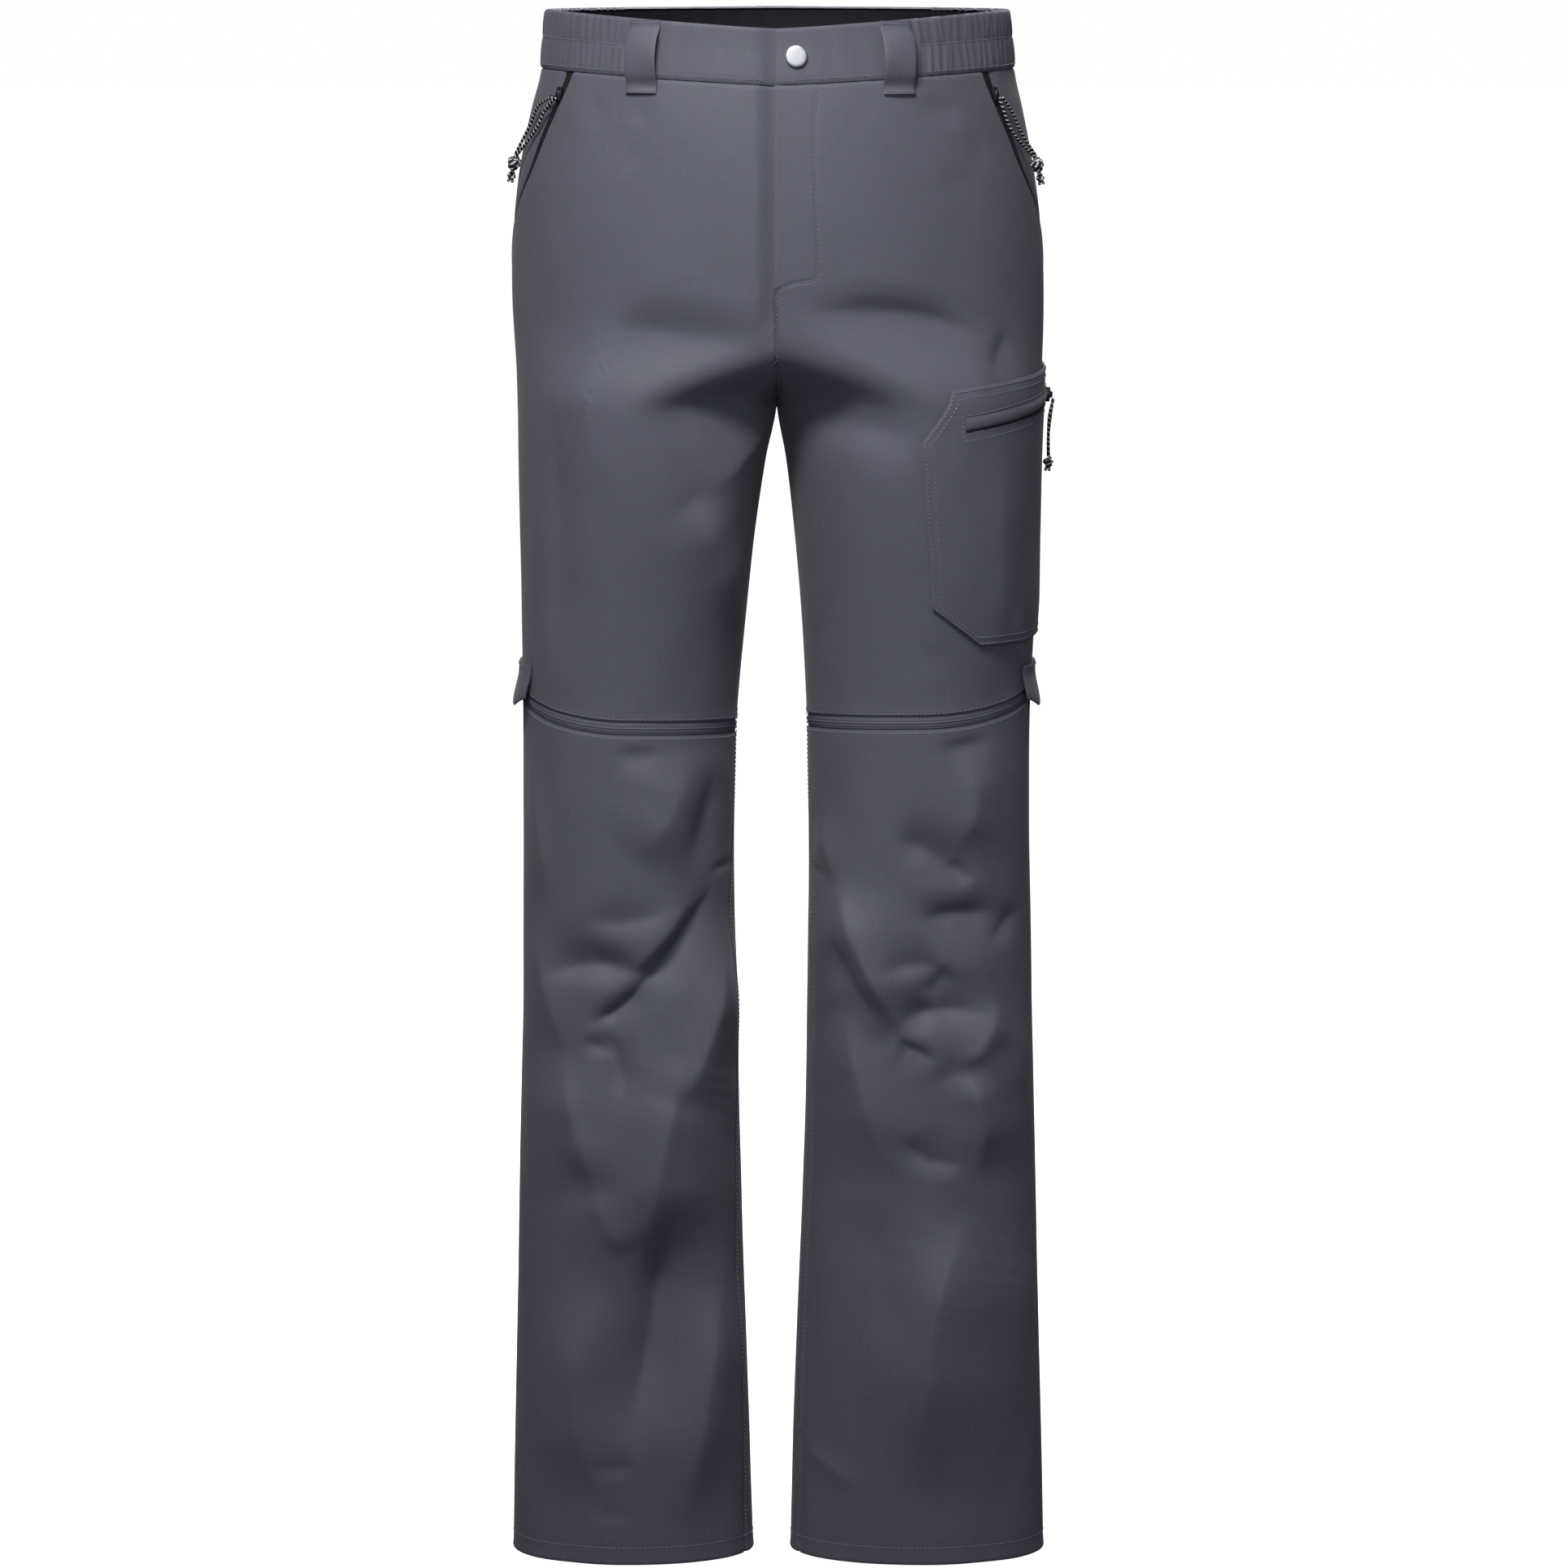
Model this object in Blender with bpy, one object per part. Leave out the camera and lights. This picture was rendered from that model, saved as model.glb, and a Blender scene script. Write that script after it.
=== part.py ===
"""Convertible zip-off trousers, filled out with no wearer.

Metres, +Z up. The front faces -Y and the wearer's left leg is at +X. The origin is the
centre of the waist opening, at the waistband's mid-height.

Every piece of cloth is a wall on one nominal surface. A point of that surface has an
angle in degrees round its leg (0 at the front, 90 at the outer side, 180 at the back,
-90 or 270 at the inner side), a height z, and a distance out along the normal.
"""

import math
from typing import NamedTuple

import bpy
import numpy as np
from mathutils import Matrix, Vector

MM = 0.001
LEFT, RIGHT = 1, -1
SIDE_NAMES = {LEFT: "left", RIGHT: "right"}

# Driving sizes, in metres
CROTCH_Z = -0.254
HEM_Z = -1.0705
CROTCH_BLEND = 0.036
CENTRE_GAP = 0.0002
SEAM_GAP = 0.0003
PANEL_WALL = 0.002
BAND_WALL = 0.0025
BAND_PROUD = 0.0006
LAYER_GAP = 0.0009

WAIST_TOP_FRONT, WAIST_TOP_SIDE = 0.0064, 0.0190
WAIST_SEAM_FRONT, WAIST_SEAM_SIDE = -0.0310, -0.0210
WAIST_BACK_RISE = 0.0015

SIDE_SEAM = 95.0
INSEAM = -90.0
INSEAM_DRIFT = 20.0
INSEAM_DRIFT_TOP, INSEAM_DRIFT_BOTTOM = -0.480, -0.640

KNEE_FRONT = {LEFT: -0.4630, RIGHT: -0.4670}
KNEE_INNER_DROP = 0.0068
KNEE_OUTER_RISE = 0.0210
KNEE_OPEN = 0.0095
KNEE_TAPE_HALF = 0.0110
KNEE_TAPE_DEPTH = 0.0029
KNEE_TAPE_WALL = 0.0012

FLY_SHIFT = -0.0011
FLY_UNDERLAP = 0.018
FLY_BOTTOM = -0.150
FLY_RECESS = 0.0030
FLY_RECESS_FULL, FLY_RECESS_END = -0.180, -0.215
FLY_STEP_INNER, FLY_STEP_OUTER = 0.0021, 0.0165
BAND_UNDERLAP = 0.032
BAND_RECESS = 0.0032

LOOP_ANGLE = {LEFT: 29.6, RIGHT: 33.3}
ELASTIC_END = 140.0
LOOP_HALF_WIDTH = 0.0108
LOOP_WALL = 0.0018
LOOP_TAIL = 0.0110
GATHERS = 34
GATHER_HEIGHT = 0.0016

FRONT_COLUMNS = 14
BACK_COLUMNS = 10


class Section(NamedTuple):
    """Both legs at one height, in millimetres: outline from the front, and depths."""

    z: float
    right_outer: float
    right_inner: float
    left_inner: float
    left_outer: float
    front: float
    back: float


SECTIONS = [
    Section(30, 158.0, 0.2, 0.2, 159.0, 111, 115),
    Section(19, 159.0, 0.2, 0.2, 160.0, 112, 117),
    Section(-8, 161.5, 0.2, 0.2, 163.0, 113, 120),
    Section(-24, 163.0, 0.2, 0.2, 164.6, 115, 123),
    Section(-47, 169.2, 0.2, 0.2, 169.8, 118, 127),
    Section(-86, 177.3, 0.2, 0.2, 177.4, 121, 131),
    Section(-131, 182.4, 0.2, 0.2, 183.2, 121, 132),
    Section(-176, 183.4, 0.2, 0.2, 185.2, 119, 128),
    Section(-232, 180.8, 0.2, 0.2, 184.2, 113, 117),
    Section(-254, 180.3, 0.2, 0.2, 183.0, 110, 112),
    Section(-289, 179.8, 7.3, 6.2, 181.5, 106, 105),
    Section(-340, 179.0, 14.7, 11.9, 180.6, 98, 96),
    Section(-397, 178.3, 21.0, 17.0, 180.2, 87, 84),
    Section(-468, 177.7, 27.6, 20.9, 177.4, 76, 73),
    Section(-540, 178.0, 29.7, 22.2, 177.4, 71, 69),
    Section(-656, 178.7, 28.7, 21.7, 179.8, 65, 66),
    Section(-772, 181.6, 26.0, 19.5, 182.7, 61, 62),
    Section(-890, 184.3, 22.6, 14.9, 185.8, 57, 58),
    Section(-1009, 187.3, 18.7, 10.9, 189.3, 54, 55),
    Section(-1075, 188.6, 16.5, 9.4, 190.8, 53, 54),
]


class PocketEdge(NamedTuple):
    """Hand pocket opening: height in millimetres and angle of the front's edge."""

    z: float
    angle: float


POCKET_EDGE = [
    PocketEdge(-20, 58.0),
    PocketEdge(-36, 60.0),
    PocketEdge(-64, 65.0),
    PocketEdge(-89, 70.0),
    PocketEdge(-112, 78.0),
    PocketEdge(-131, 85.0),
    PocketEdge(-150, 90.0),
    PocketEdge(-164, 93.6),
    PocketEdge(-179, 94.8),
]
POCKET_ZIP_TAPER, POCKET_ZIP_END = -0.125, -0.152
POCKET_ZIP_DEGREES, POCKET_ZIP_END_DEGREES = 3.4, 0.7
POCKET_ZIP_RECESS, POCKET_ZIP_WALL = 0.0004, 0.0012


class Fold(NamedTuple):
    """One soft fold: leg, half, three points seen from the front, width and height.

    Lengths are in millimetres. A negative height is a valley.
    """

    leg: int
    back: bool
    x0: float
    z0: float
    x1: float
    z1: float
    x2: float
    z2: float
    reach: float
    height: float


FOLDS = [
    # Wearer's right thigh, front
    Fold(RIGHT, False, -117, -196, -70, -194, -16, -206, 16, -4.0),
    Fold(RIGHT, False, -92, -246, -48, -240, -8, -228, 18, -4.0),
    Fold(RIGHT, False, -50, -313, -38, -340, -30, -378, 20, -5.0),
    Fold(RIGHT, False, -62, -322, -56, -350, -50, -385, 14, 3.0),
    Fold(RIGHT, False, -152, -262, -152, -330, -152, -410, 16, -3.5),
    # Wearer's left thigh, front
    Fold(LEFT, False, 30, -183, 80, -182, 138, -196, 14, -4.0),
    Fold(LEFT, False, 8, -228, 48, -236, 88, -250, 18, -4.0),
    # Wearer's right lower leg, front
    Fold(RIGHT, False, -52, -600, -85, -642, -125, -676, 13, -7.0),
    Fold(RIGHT, False, -150, -640, -120, -630, -90, -636, 14, -4.0),
    Fold(RIGHT, False, -56, -512, -72, -535, -94, -560, 16, 4.0),
    Fold(RIGHT, False, -44, -655, -66, -718, -86, -840, 16, 5.0),
    Fold(RIGHT, False, -158, -660, -140, -730, -118, -820, 15, 3.5),
    Fold(RIGHT, False, -84, -860, -90, -910, -104, -960, 18, -5.0),
    Fold(RIGHT, False, -134, -890, -140, -950, -124, -1010, 16, 3.0),
    # Wearer's left lower leg, front
    Fold(LEFT, False, 43, -585, 72, -650, 116, -708, 14, 6.0),
    Fold(LEFT, False, 40, -610, 58, -655, 80, -690, 12, -4.0),
    Fold(LEFT, False, 97, -600, 130, -597, 168, -599, 14, -4.5),
    Fold(LEFT, False, 88, -672, 120, -667, 150, -667, 12, -4.0),
    Fold(LEFT, False, 153, -672, 134, -716, 141, -772, 15, 4.5),
    Fold(LEFT, False, 80, -543, 105, -553, 126, -580, 14, -3.5),
    Fold(LEFT, False, 118, -860, 107, -915, 114, -1005, 18, 5.0),
    Fold(LEFT, False, 46, -690, 60, -760, 62, -850, 18, 3.5),
    # Backs, hidden in the photo: folds of the same kinds
    Fold(RIGHT, True, -40, -300, -85, -292, -130, -300, 20, -4.0),
    Fold(RIGHT, True, -150, -560, -105, -545, -60, -560, 18, -5.0),
    Fold(RIGHT, True, -140, -640, -100, -615, -62, -628, 16, -4.0),
    Fold(RIGHT, True, -120, -800, -105, -880, -112, -990, 20, 4.0),
    Fold(LEFT, True, 40, -300, 85, -290, 130, -303, 20, -4.0),
    Fold(LEFT, True, 60, -555, 100, -546, 148, -566, 18, -5.0),
    Fold(LEFT, True, 66, -632, 102, -612, 140, -636, 16, -4.0),
    Fold(LEFT, True, 96, -790, 106, -880, 98, -1000, 20, 4.0),
]
FOLD_STEPS = 14
# Where the folds fade out: distances from the knee's opening, heights below the waist
# seam, distance from the crotch, and the cargo pocket's heights and angles
KNEE_FADE_START, KNEE_FADE_END = 0.016, 0.045
WAIST_FADE_START, WAIST_FADE_END = -0.075, -0.040
CROTCH_FADE = 0.030
CARGO_FADE_BOTTOM, CARGO_FADE_LOW, CARGO_FADE_HIGH, CARGO_FADE_TOP = -0.445, -0.425, -0.225, -0.200
CARGO_FADE_FRONT, CARGO_FADE_INNER, CARGO_FADE_OUTER, CARGO_FADE_REAR = -14.0, -2.0, 135.0, 150.0
ANGLE_TOLERANCE = 1e-5


def smooth_step(x, start, end):
    """Rise from 0 at start to 1 at end with level ends."""
    t = np.clip((np.asarray(x, float) - start) / (end - start), 0.0, 1.0)
    return t * t * (3.0 - 2.0 * t)


def read_table(rows, key, value, x):
    """Read one column of a table of named rows as a smooth curve of another column."""
    pairs = sorted((getattr(row, key), getattr(row, value)) for row in rows)
    keys = np.array([pair[0] for pair in pairs], float)
    values = np.array([pair[1] for pair in pairs], float)
    slopes = np.gradient(values, keys)
    x = np.clip(np.asarray(x, float), keys[0], keys[-1])
    index = np.clip(np.searchsorted(keys, x) - 1, 0, len(keys) - 2)
    span = keys[index + 1] - keys[index]
    t = (x - keys[index]) / span
    return (
        values[index] * (1 + 2 * t) * (1 - t) ** 2
        + slopes[index] * span * t * (1 - t) ** 2
        + values[index + 1] * t * t * (3 - 2 * t)
        + slopes[index + 1] * span * t * t * (t - 1)
    )


def section_size(column, z):
    """A column of SECTIONS at height z, in metres."""
    return read_table(SECTIONS, "z", column, np.asarray(z) / MM) * MM


def crotch_blend(z):
    """How far the two legs have parted: 1 at the crotch, 0 high above it."""
    height = np.maximum(np.asarray(z, float) - CROTCH_Z, 0.0)
    return np.exp(-((height / CROTCH_BLEND) ** 2))


def leg_section(side, z):
    """Centre distance and half-width of a leg's ellipse, for side +1 or -1."""
    left = np.asarray(side) > 0
    outer = np.where(left, section_size("left_outer", z), section_size("right_outer", z))
    inner = np.where(left, section_size("left_inner", z), section_size("right_inner", z))
    blend = crotch_blend(z)
    joined_half = (outer - CENTRE_GAP) / (1 + blend)
    joined_centre = CENTRE_GAP + joined_half * blend
    above = np.asarray(z) >= CROTCH_Z
    half = np.where(above, joined_half, (outer - inner) / 2)
    centre = np.where(above, joined_centre, (outer + inner) / 2)
    return centre, half


def centre_front_angle(z):
    """Angle of the centre front line, and of the inner side below the crotch."""
    return -np.degrees(np.arcsin(np.clip(crotch_blend(z), 0.0, 1.0)))


def mirrored(side, theta, z):
    """Move points that lie past the centre line to the other leg's half."""
    front_edge = centre_front_angle(z)
    back_edge = 180.0 - front_edge
    above = np.asarray(z) >= CROTCH_Z
    past_front = above & (theta < front_edge - ANGLE_TOLERANCE)
    past_back = above & (theta > back_edge + ANGLE_TOLERANCE)
    angle = np.where(past_front, 2 * front_edge - theta, theta)
    angle = np.where(past_back, 2 * back_edge - theta, angle)
    return np.where(past_front | past_back, -side, side), angle


def base_point(side, theta, z):
    """Point of the nominal surface, with no folds."""
    side, theta = mirrored(side, theta, z)
    centre, half = leg_section(side, z)
    angle = np.radians(theta)
    depth = np.where(np.cos(angle) > 0, section_size("front", z), section_size("back", z))
    x = side * (centre + half * np.sin(angle))
    return np.stack([x, -depth * np.cos(angle), z + 0.0 * x], axis=-1)


def base_normal(side, theta, z):
    """Outward unit normal of the nominal surface."""
    turn, rise = 0.4, 0.001
    across = base_point(side, theta + turn, z) - base_point(side, theta - turn, z)
    up = base_point(side, theta, z + rise) - base_point(side, theta, z - rise)
    normal = np.cross(across, up) * side
    return normal / np.linalg.norm(normal, axis=-1, keepdims=True)


def angle_at(side, x, z):
    """Front angle at which a leg's surface has the given x."""
    z = np.asarray(z, float)
    other = np.sign(x) * side < 0
    owner = np.where(other, -side, side)
    centre, half = leg_section(owner, z)
    angle = np.degrees(np.arcsin(np.clip((np.abs(x) - centre) / half, -1.0, 1.0)))
    return np.where(other, 2 * centre_front_angle(z) - angle, angle)


def fold_route(fold):
    """Angles and heights along a fold's middle line."""
    t = np.linspace(0.0, 1.0, FOLD_STEPS)
    first, middle, last = (1 - t) * (1 - 2 * t), 4 * t * (1 - t), t * (2 * t - 1)
    x = (first * fold.x0 + middle * fold.x1 + last * fold.x2) * MM
    z = (first * fold.z0 + middle * fold.z1 + last * fold.z2) * MM
    angle = angle_at(fold.leg, x, z)
    return (180.0 - angle if fold.back else angle), z


def knee_line(side, theta):
    """Lower edge of the upper leg: lowest at the inner side, rising at the outer one."""
    turn = (np.asarray(theta, float) + 180.0) % 360.0 - 180.0
    outward = np.sign(turn) * np.minimum(np.abs(turn), 180.0 - np.abs(turn)) / 90.0
    outer = KNEE_OUTER_RISE * np.clip(outward, 0, 1) ** 1.8
    inner = KNEE_INNER_DROP * np.clip(-outward, 0, 1) ** 1.5
    return KNEE_FRONT[side] + outer - inner


def body_wave(theta):
    """0 at the centre front, rising to 1 at the side, and 1 all over the back."""
    angle = np.clip(np.asarray(theta, float), 0.0, 90.0)
    return np.sin(np.radians(angle)) ** 1.2


def back_share(theta):
    """0 at the side and 1 at the centre back, also past the centre back."""
    angle = np.asarray(theta, float)
    return np.clip((np.where(angle > 180, 360 - angle, angle) - 90) / 90, 0, 1)


def waist_top(theta):
    """Height of the waistband's top edge."""
    front_part = WAIST_TOP_FRONT + (WAIST_TOP_SIDE - WAIST_TOP_FRONT) * body_wave(theta)
    return front_part + WAIST_BACK_RISE * back_share(theta)


def waist_seam(theta):
    """Height of the seam between the waistband and the legs."""
    front_part = WAIST_SEAM_FRONT + (WAIST_SEAM_SIDE - WAIST_SEAM_FRONT) * body_wave(theta)
    return front_part + WAIST_BACK_RISE * back_share(theta)


def relief(side, theta, z):
    """Height of the folds, fading to nothing at seams, zips and the cargo pocket."""
    side, theta = mirrored(side, theta, z)
    _, half = leg_section(side, z)
    radius = 0.5 * (half + section_size("front", z))
    total = np.zeros(np.broadcast(theta, z).shape)
    for fold in FOLDS:
        nearest = np.full(total.shape, 1.0)
        for route_angle, route_z in zip(*fold_route(fold)):
            arc = np.radians(theta - route_angle) * radius
            nearest = np.minimum(nearest, arc**2 + (z - route_z) ** 2)
        shape = np.exp(-nearest / (fold.reach * MM) ** 2)
        total += np.where(side == fold.leg, fold.height * MM * shape, 0.0)
    knee = np.where(side > 0, knee_line(LEFT, theta), knee_line(RIGHT, theta)) - 0.5 * KNEE_OPEN
    fade = smooth_step(np.abs(z - knee), KNEE_FADE_START, KNEE_FADE_END)
    fade = fade * (1 - smooth_step(z, WAIST_FADE_START, WAIST_FADE_END))
    from_crotch = np.abs(z - CROTCH_Z) + np.abs(theta - INSEAM) * MM
    fade = fade * smooth_step(from_crotch, 0.0, CROTCH_FADE)
    rows = smooth_step(z, CARGO_FADE_BOTTOM, CARGO_FADE_LOW)
    rows = rows * (1 - smooth_step(z, CARGO_FADE_HIGH, CARGO_FADE_TOP))
    columns = smooth_step(theta, CARGO_FADE_FRONT, CARGO_FADE_INNER)
    columns = columns * (1 - smooth_step(theta, CARGO_FADE_OUTER, CARGO_FADE_REAR))
    return total * fade * (1 - np.where(side > 0, rows * columns, 0.0))


def surface(side, theta, z, out=0.0):
    """Point of the cloth's outer face, moved out by a distance along the normal.

    Near the crotch no point crosses the centre plane into the other leg's half.
    """
    theta, z = np.broadcast_arrays(np.asarray(theta, float), np.asarray(z, float))
    lift = relief(side, theta, z) + out
    base = base_point(side, theta, z)
    points = base + base_normal(side, theta, z) * lift[..., None]
    own_half = (base[..., 0] * side > 0) & (z > CROTCH_Z - 0.03)
    held = side * np.maximum(points[..., 0] * side, CENTRE_GAP)
    points[..., 0] = np.where(own_half, held, points[..., 0])
    return points


def seam_angle(z):
    """Half a seam's gap as an angle round the leg."""
    return np.degrees(0.5 * SEAM_GAP / section_size("front", z)) * 1.1


def inner_edge(z):
    """Angle of the inner leg seam, which drifts forward below the knee."""
    drift = smooth_step(-np.asarray(z, float), -INSEAM_DRIFT_TOP, -INSEAM_DRIFT_BOTTOM)
    return INSEAM + INSEAM_DRIFT * drift


def front_start(side, z):
    """Inner edge of an upper front: the fly, the centre seam, then the inner side."""
    shift = FLY_SHIFT * smooth_step(z, FLY_BOTTOM - 0.040, FLY_BOTTOM - 0.010)
    edge_x = shift + side * CENTRE_GAP
    if side == RIGHT:
        under = smooth_step(z, FLY_BOTTOM - 0.028, FLY_BOTTOM)
        edge_x = edge_x + (FLY_UNDERLAP - edge_x) * under
    above = angle_at(side, edge_x, z)
    below = inner_edge(z) + seam_angle(z)
    return np.where(np.asarray(z) >= CROTCH_Z, np.maximum(above, -89.8), below)


def back_end(z):
    """Inner edge of a back: the seat seam, then the inner side."""
    above = np.minimum(180.0 - centre_front_angle(z), 269.8)
    below = 360.0 + inner_edge(z) - seam_angle(z)
    return np.where(np.asarray(z) >= CROTCH_Z, above, below)


def pocket_edge(z):
    """Angle of the front's edge along the hand pocket, and along the side seam below."""
    edge = read_table(POCKET_EDGE, "z", "angle", np.asarray(z) / MM)
    return np.minimum(edge, SIDE_SEAM - seam_angle(z))


def pocket_zip_edge(z):
    """Angle of the outer edge of the hand pocket's zip tape."""
    taper = smooth_step(z, POCKET_ZIP_END, POCKET_ZIP_TAPER)
    width = POCKET_ZIP_END_DEGREES + (POCKET_ZIP_DEGREES - POCKET_ZIP_END_DEGREES) * taper
    return pocket_edge(z) + 2 * seam_angle(z) + width


def facing_start(z):
    """Inner edge of the pocket facing."""
    beside_zip = pocket_zip_edge(z) + 2 * seam_angle(z)
    below_zip = pocket_edge(z) + 2 * seam_angle(z)
    share = smooth_step(z, POCKET_ZIP_END - 0.004, POCKET_ZIP_END - 0.001)
    return below_zip + (beside_zip - below_zip) * share


def fly_recess(side, theta, z):
    """How far the right front dips so that the left one lies over it."""
    if side == LEFT:
        return 0.0 * (theta + z)
    x = base_point(side, theta, z)[..., 0]
    across = smooth_step(x, -FLY_STEP_OUTER, -FLY_STEP_INNER)
    return FLY_RECESS * across * smooth_step(z, FLY_RECESS_END, FLY_RECESS_FULL)


def even_columns(start, end, columns):
    """Angles spread evenly between two edge curves, as a function of the points' heights."""
    u = np.linspace(0.0, 1.0, columns + 1)[None, :]
    return lambda z: start(z) + (end(z) - start(z)) * u


def grid(angles, top, bottom, columns, heights):
    """Angles and heights of a panel's points, between its top and bottom curves.

    The heights are wanted along the inner edge, and are spread to fit top and bottom.
    """
    heights = np.asarray(heights, float)
    t = ((heights[0] - heights) / (heights[0] - heights[-1]))[:, None]
    z = heights[:, None] + np.zeros((1, columns + 1))
    for _ in range(12):
        theta = angles(z)
        z = (1 - t) * top(theta) + t * bottom(theta)
    return angles(z), z


def wall_mesh(name, outer, inner, closed=False):
    """Closed wall between two grids of points with the same number of columns."""
    rows, columns = outer.shape[:2]
    inner_rows = inner.shape[0]
    points = np.concatenate([outer.reshape(-1, 3), inner.reshape(-1, 3)])
    offset = rows * columns

    def out_id(i, j):
        return i * columns + j % columns

    def in_id(i, j):
        return offset + i * columns + j % columns

    faces = []
    spans = columns if closed else columns - 1
    for j in range(spans):
        for i in range(rows - 1):
            faces.append((out_id(i, j), out_id(i + 1, j), out_id(i + 1, j + 1), out_id(i, j + 1)))
        for i in range(inner_rows - 1):
            faces.append((in_id(i, j), in_id(i, j + 1), in_id(i + 1, j + 1), in_id(i + 1, j)))
        last, inner_last = rows - 1, inner_rows - 1
        faces.append((out_id(0, j), out_id(0, j + 1), in_id(0, j + 1), in_id(0, j)))
        faces.append((out_id(last, j), in_id(inner_last, j), in_id(inner_last, j + 1),
                      out_id(last, j + 1)))
    if not closed:
        ends = []
        for j in (0, columns - 1):
            if rows == inner_rows:
                ends.append([(out_id(i, j), out_id(i + 1, j), in_id(i + 1, j), in_id(i, j))
                             for i in range(rows - 1)])
            else:
                loop = [out_id(i, j) for i in range(rows)]
                ends.append([(*loop, *(in_id(i, j) for i in reversed(range(inner_rows))))])
        faces.extend(tuple(reversed(face)) for face in ends[0])
        faces.extend(ends[1])
    mesh = bpy.data.meshes.new(name)
    mesh.from_pydata([tuple(point) for point in points.tolist()], [], faces)
    if signed_volume(points, faces) < 0:
        mesh.flip_normals()
    mesh.validate()
    mesh.update()
    return mesh


def signed_volume(points, faces):
    """Volume inside the faces, negative when they point inwards."""
    total = 0.0
    for face in faces:
        for k in range(1, len(face) - 1):
            total += np.dot(points[face[0]], np.cross(points[face[k]], points[face[k + 1]]))
    return total / 6.0


def srgb(hex_colour):
    """Linear RGBA of a web colour."""
    channels = [int(hex_colour[i:i + 2], 16) / 255 for i in (1, 3, 5)]
    linear = [c / 12.92 if c <= 0.04045 else ((c + 0.055) / 1.055) ** 2.4 for c in channels]
    return (*linear, 1.0)


def make_material(name, colour, roughness, metallic=0.0):
    """Plain surface with one colour."""
    material = bpy.data.materials.new(name)
    material.use_nodes = True
    shader = material.node_tree.nodes["Principled BSDF"]
    shader.inputs["Base Color"].default_value = srgb(colour)
    shader.inputs["Roughness"].default_value = roughness
    shader.inputs["Metallic"].default_value = metallic
    return material


def add_object(name, data, colour, roughness=0.8, metallic=0.0):
    """Put one named piece in the scene with a material of its own."""
    data.materials.append(make_material(name, colour, roughness, metallic))
    piece = bpy.data.objects.new(name, data)
    bpy.context.scene.collection.objects.link(piece)
    return piece


CLOTH, CLOTH_LOW, BAND, TAPE, DARK = "#62636e", "#56565f", "#686974", "#26262f", "#1b1b22"
SILVER, METAL = "#c9c9cc", "#3a3a42"


def add_cloth(name, side, theta, z, out=0.0, wall=PANEL_WALL, colour=CLOTH):
    """Wall of cloth on the surface, with its outer face a distance out from it."""
    outer = surface(side, theta, z, out)
    inner = surface(side, theta, z, out - wall)
    return add_object(name, wall_mesh(name, outer, inner), colour)


UPPER_HEIGHTS = [-0.055, -0.080, -0.105, -0.130, -0.152, -0.165, -0.180, -0.196, -0.212,
                 -0.228, -0.240, -0.248, -0.252, CROTCH_Z, -0.262, -0.282, -0.304, -0.328,
                 -0.354, -0.382, -0.412, -0.442]
SEAT_HEIGHTS = [-0.060, -0.095, -0.130, -0.165, -0.195, -0.218, -0.236, -0.248, -0.252,
                CROTCH_Z, -0.268, -0.298, -0.334, -0.372, -0.410, -0.442]
LOWER_HEIGHTS = [-0.496, -0.514, -0.532, -0.550, -0.568, -0.586, -0.604, -0.622, -0.640,
                 -0.660, -0.680, -0.700, -0.720, -0.740, -0.760, -0.780, -0.800, -0.820,
                 -0.841, -0.862, -0.884, -0.906, -0.928, -0.951, -0.974, -0.998, -1.022,
                 -1.046]
BACK_SKIPS_BELOW = -0.641


POCKET_ZIP_ROWS, POCKET_FACING_ROWS = 7, 8


def upper_grid(side, angles, columns):
    """Grid of a piece that runs down the front of the upper leg on the front's rows."""
    return grid(
        angles,
        lambda theta: waist_seam(theta) - 0.5 * SEAM_GAP,
        lambda theta: knee_line(side, theta),
        columns,
        [float(waist_seam(0.0)), *UPPER_HEIGHTS, float(knee_line(side, INSEAM))],
    )


def fly_columns(z):
    """Column angles of the right front, with columns on both sides of the fly's step."""
    even = even_columns(lambda z: front_start(RIGHT, z), pocket_edge, FRONT_COLUMNS)(z)
    step_inner = angle_at(RIGHT, -FLY_STEP_INNER, z[:, :1])
    step_outer = angle_at(RIGHT, -FLY_STEP_OUTER, z[:, :1])
    u = np.linspace(0.0, 1.0, FRONT_COLUMNS - 1)[None, :]
    rest = step_outer + (pocket_edge(z[:, 2:]) - step_outer) * u
    stepped = np.concatenate([even[:, :1], step_inner, rest], axis=1)
    share = smooth_step(z, FLY_RECESS_END, FLY_RECESS_FULL)
    return even + (stepped - even) * share


def add_upper_front(side):
    """Front of the upper leg, from the waist seam to the knee zip."""
    even = even_columns(lambda z: front_start(side, z), pocket_edge, FRONT_COLUMNS)
    theta, z = upper_grid(side, fly_columns if side == RIGHT else even, FRONT_COLUMNS)
    add_cloth(f"upper_front_{SIDE_NAMES[side]}", side, theta, z, -fly_recess(side, theta, z))


def add_upper_back(side):
    """Back of the upper leg, from the waist seam to the knee zip."""
    top_z = float(waist_seam(180.0))
    bottom_z = float(knee_line(side, -90.0))
    theta, z = grid(
        even_columns(back_end, lambda z: SIDE_SEAM + seam_angle(z), BACK_COLUMNS),
        lambda theta: waist_seam(theta) - 0.5 * SEAM_GAP,
        lambda theta: knee_line(side, theta),
        BACK_COLUMNS,
        [top_z, *SEAT_HEIGHTS, bottom_z],
    )
    add_cloth(f"upper_back_{SIDE_NAMES[side]}", side, theta, z)


def lower_grid(side, angles, columns, heights):
    """Grid of a lower leg panel, from the knee zip to the hem."""
    return grid(
        angles,
        lambda theta: knee_line(side, theta) - KNEE_OPEN,
        lambda theta: HEM_Z + 0.0 * theta,
        columns,
        [float(knee_line(side, INSEAM)) - KNEE_OPEN, *heights, HEM_Z],
    )


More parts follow.
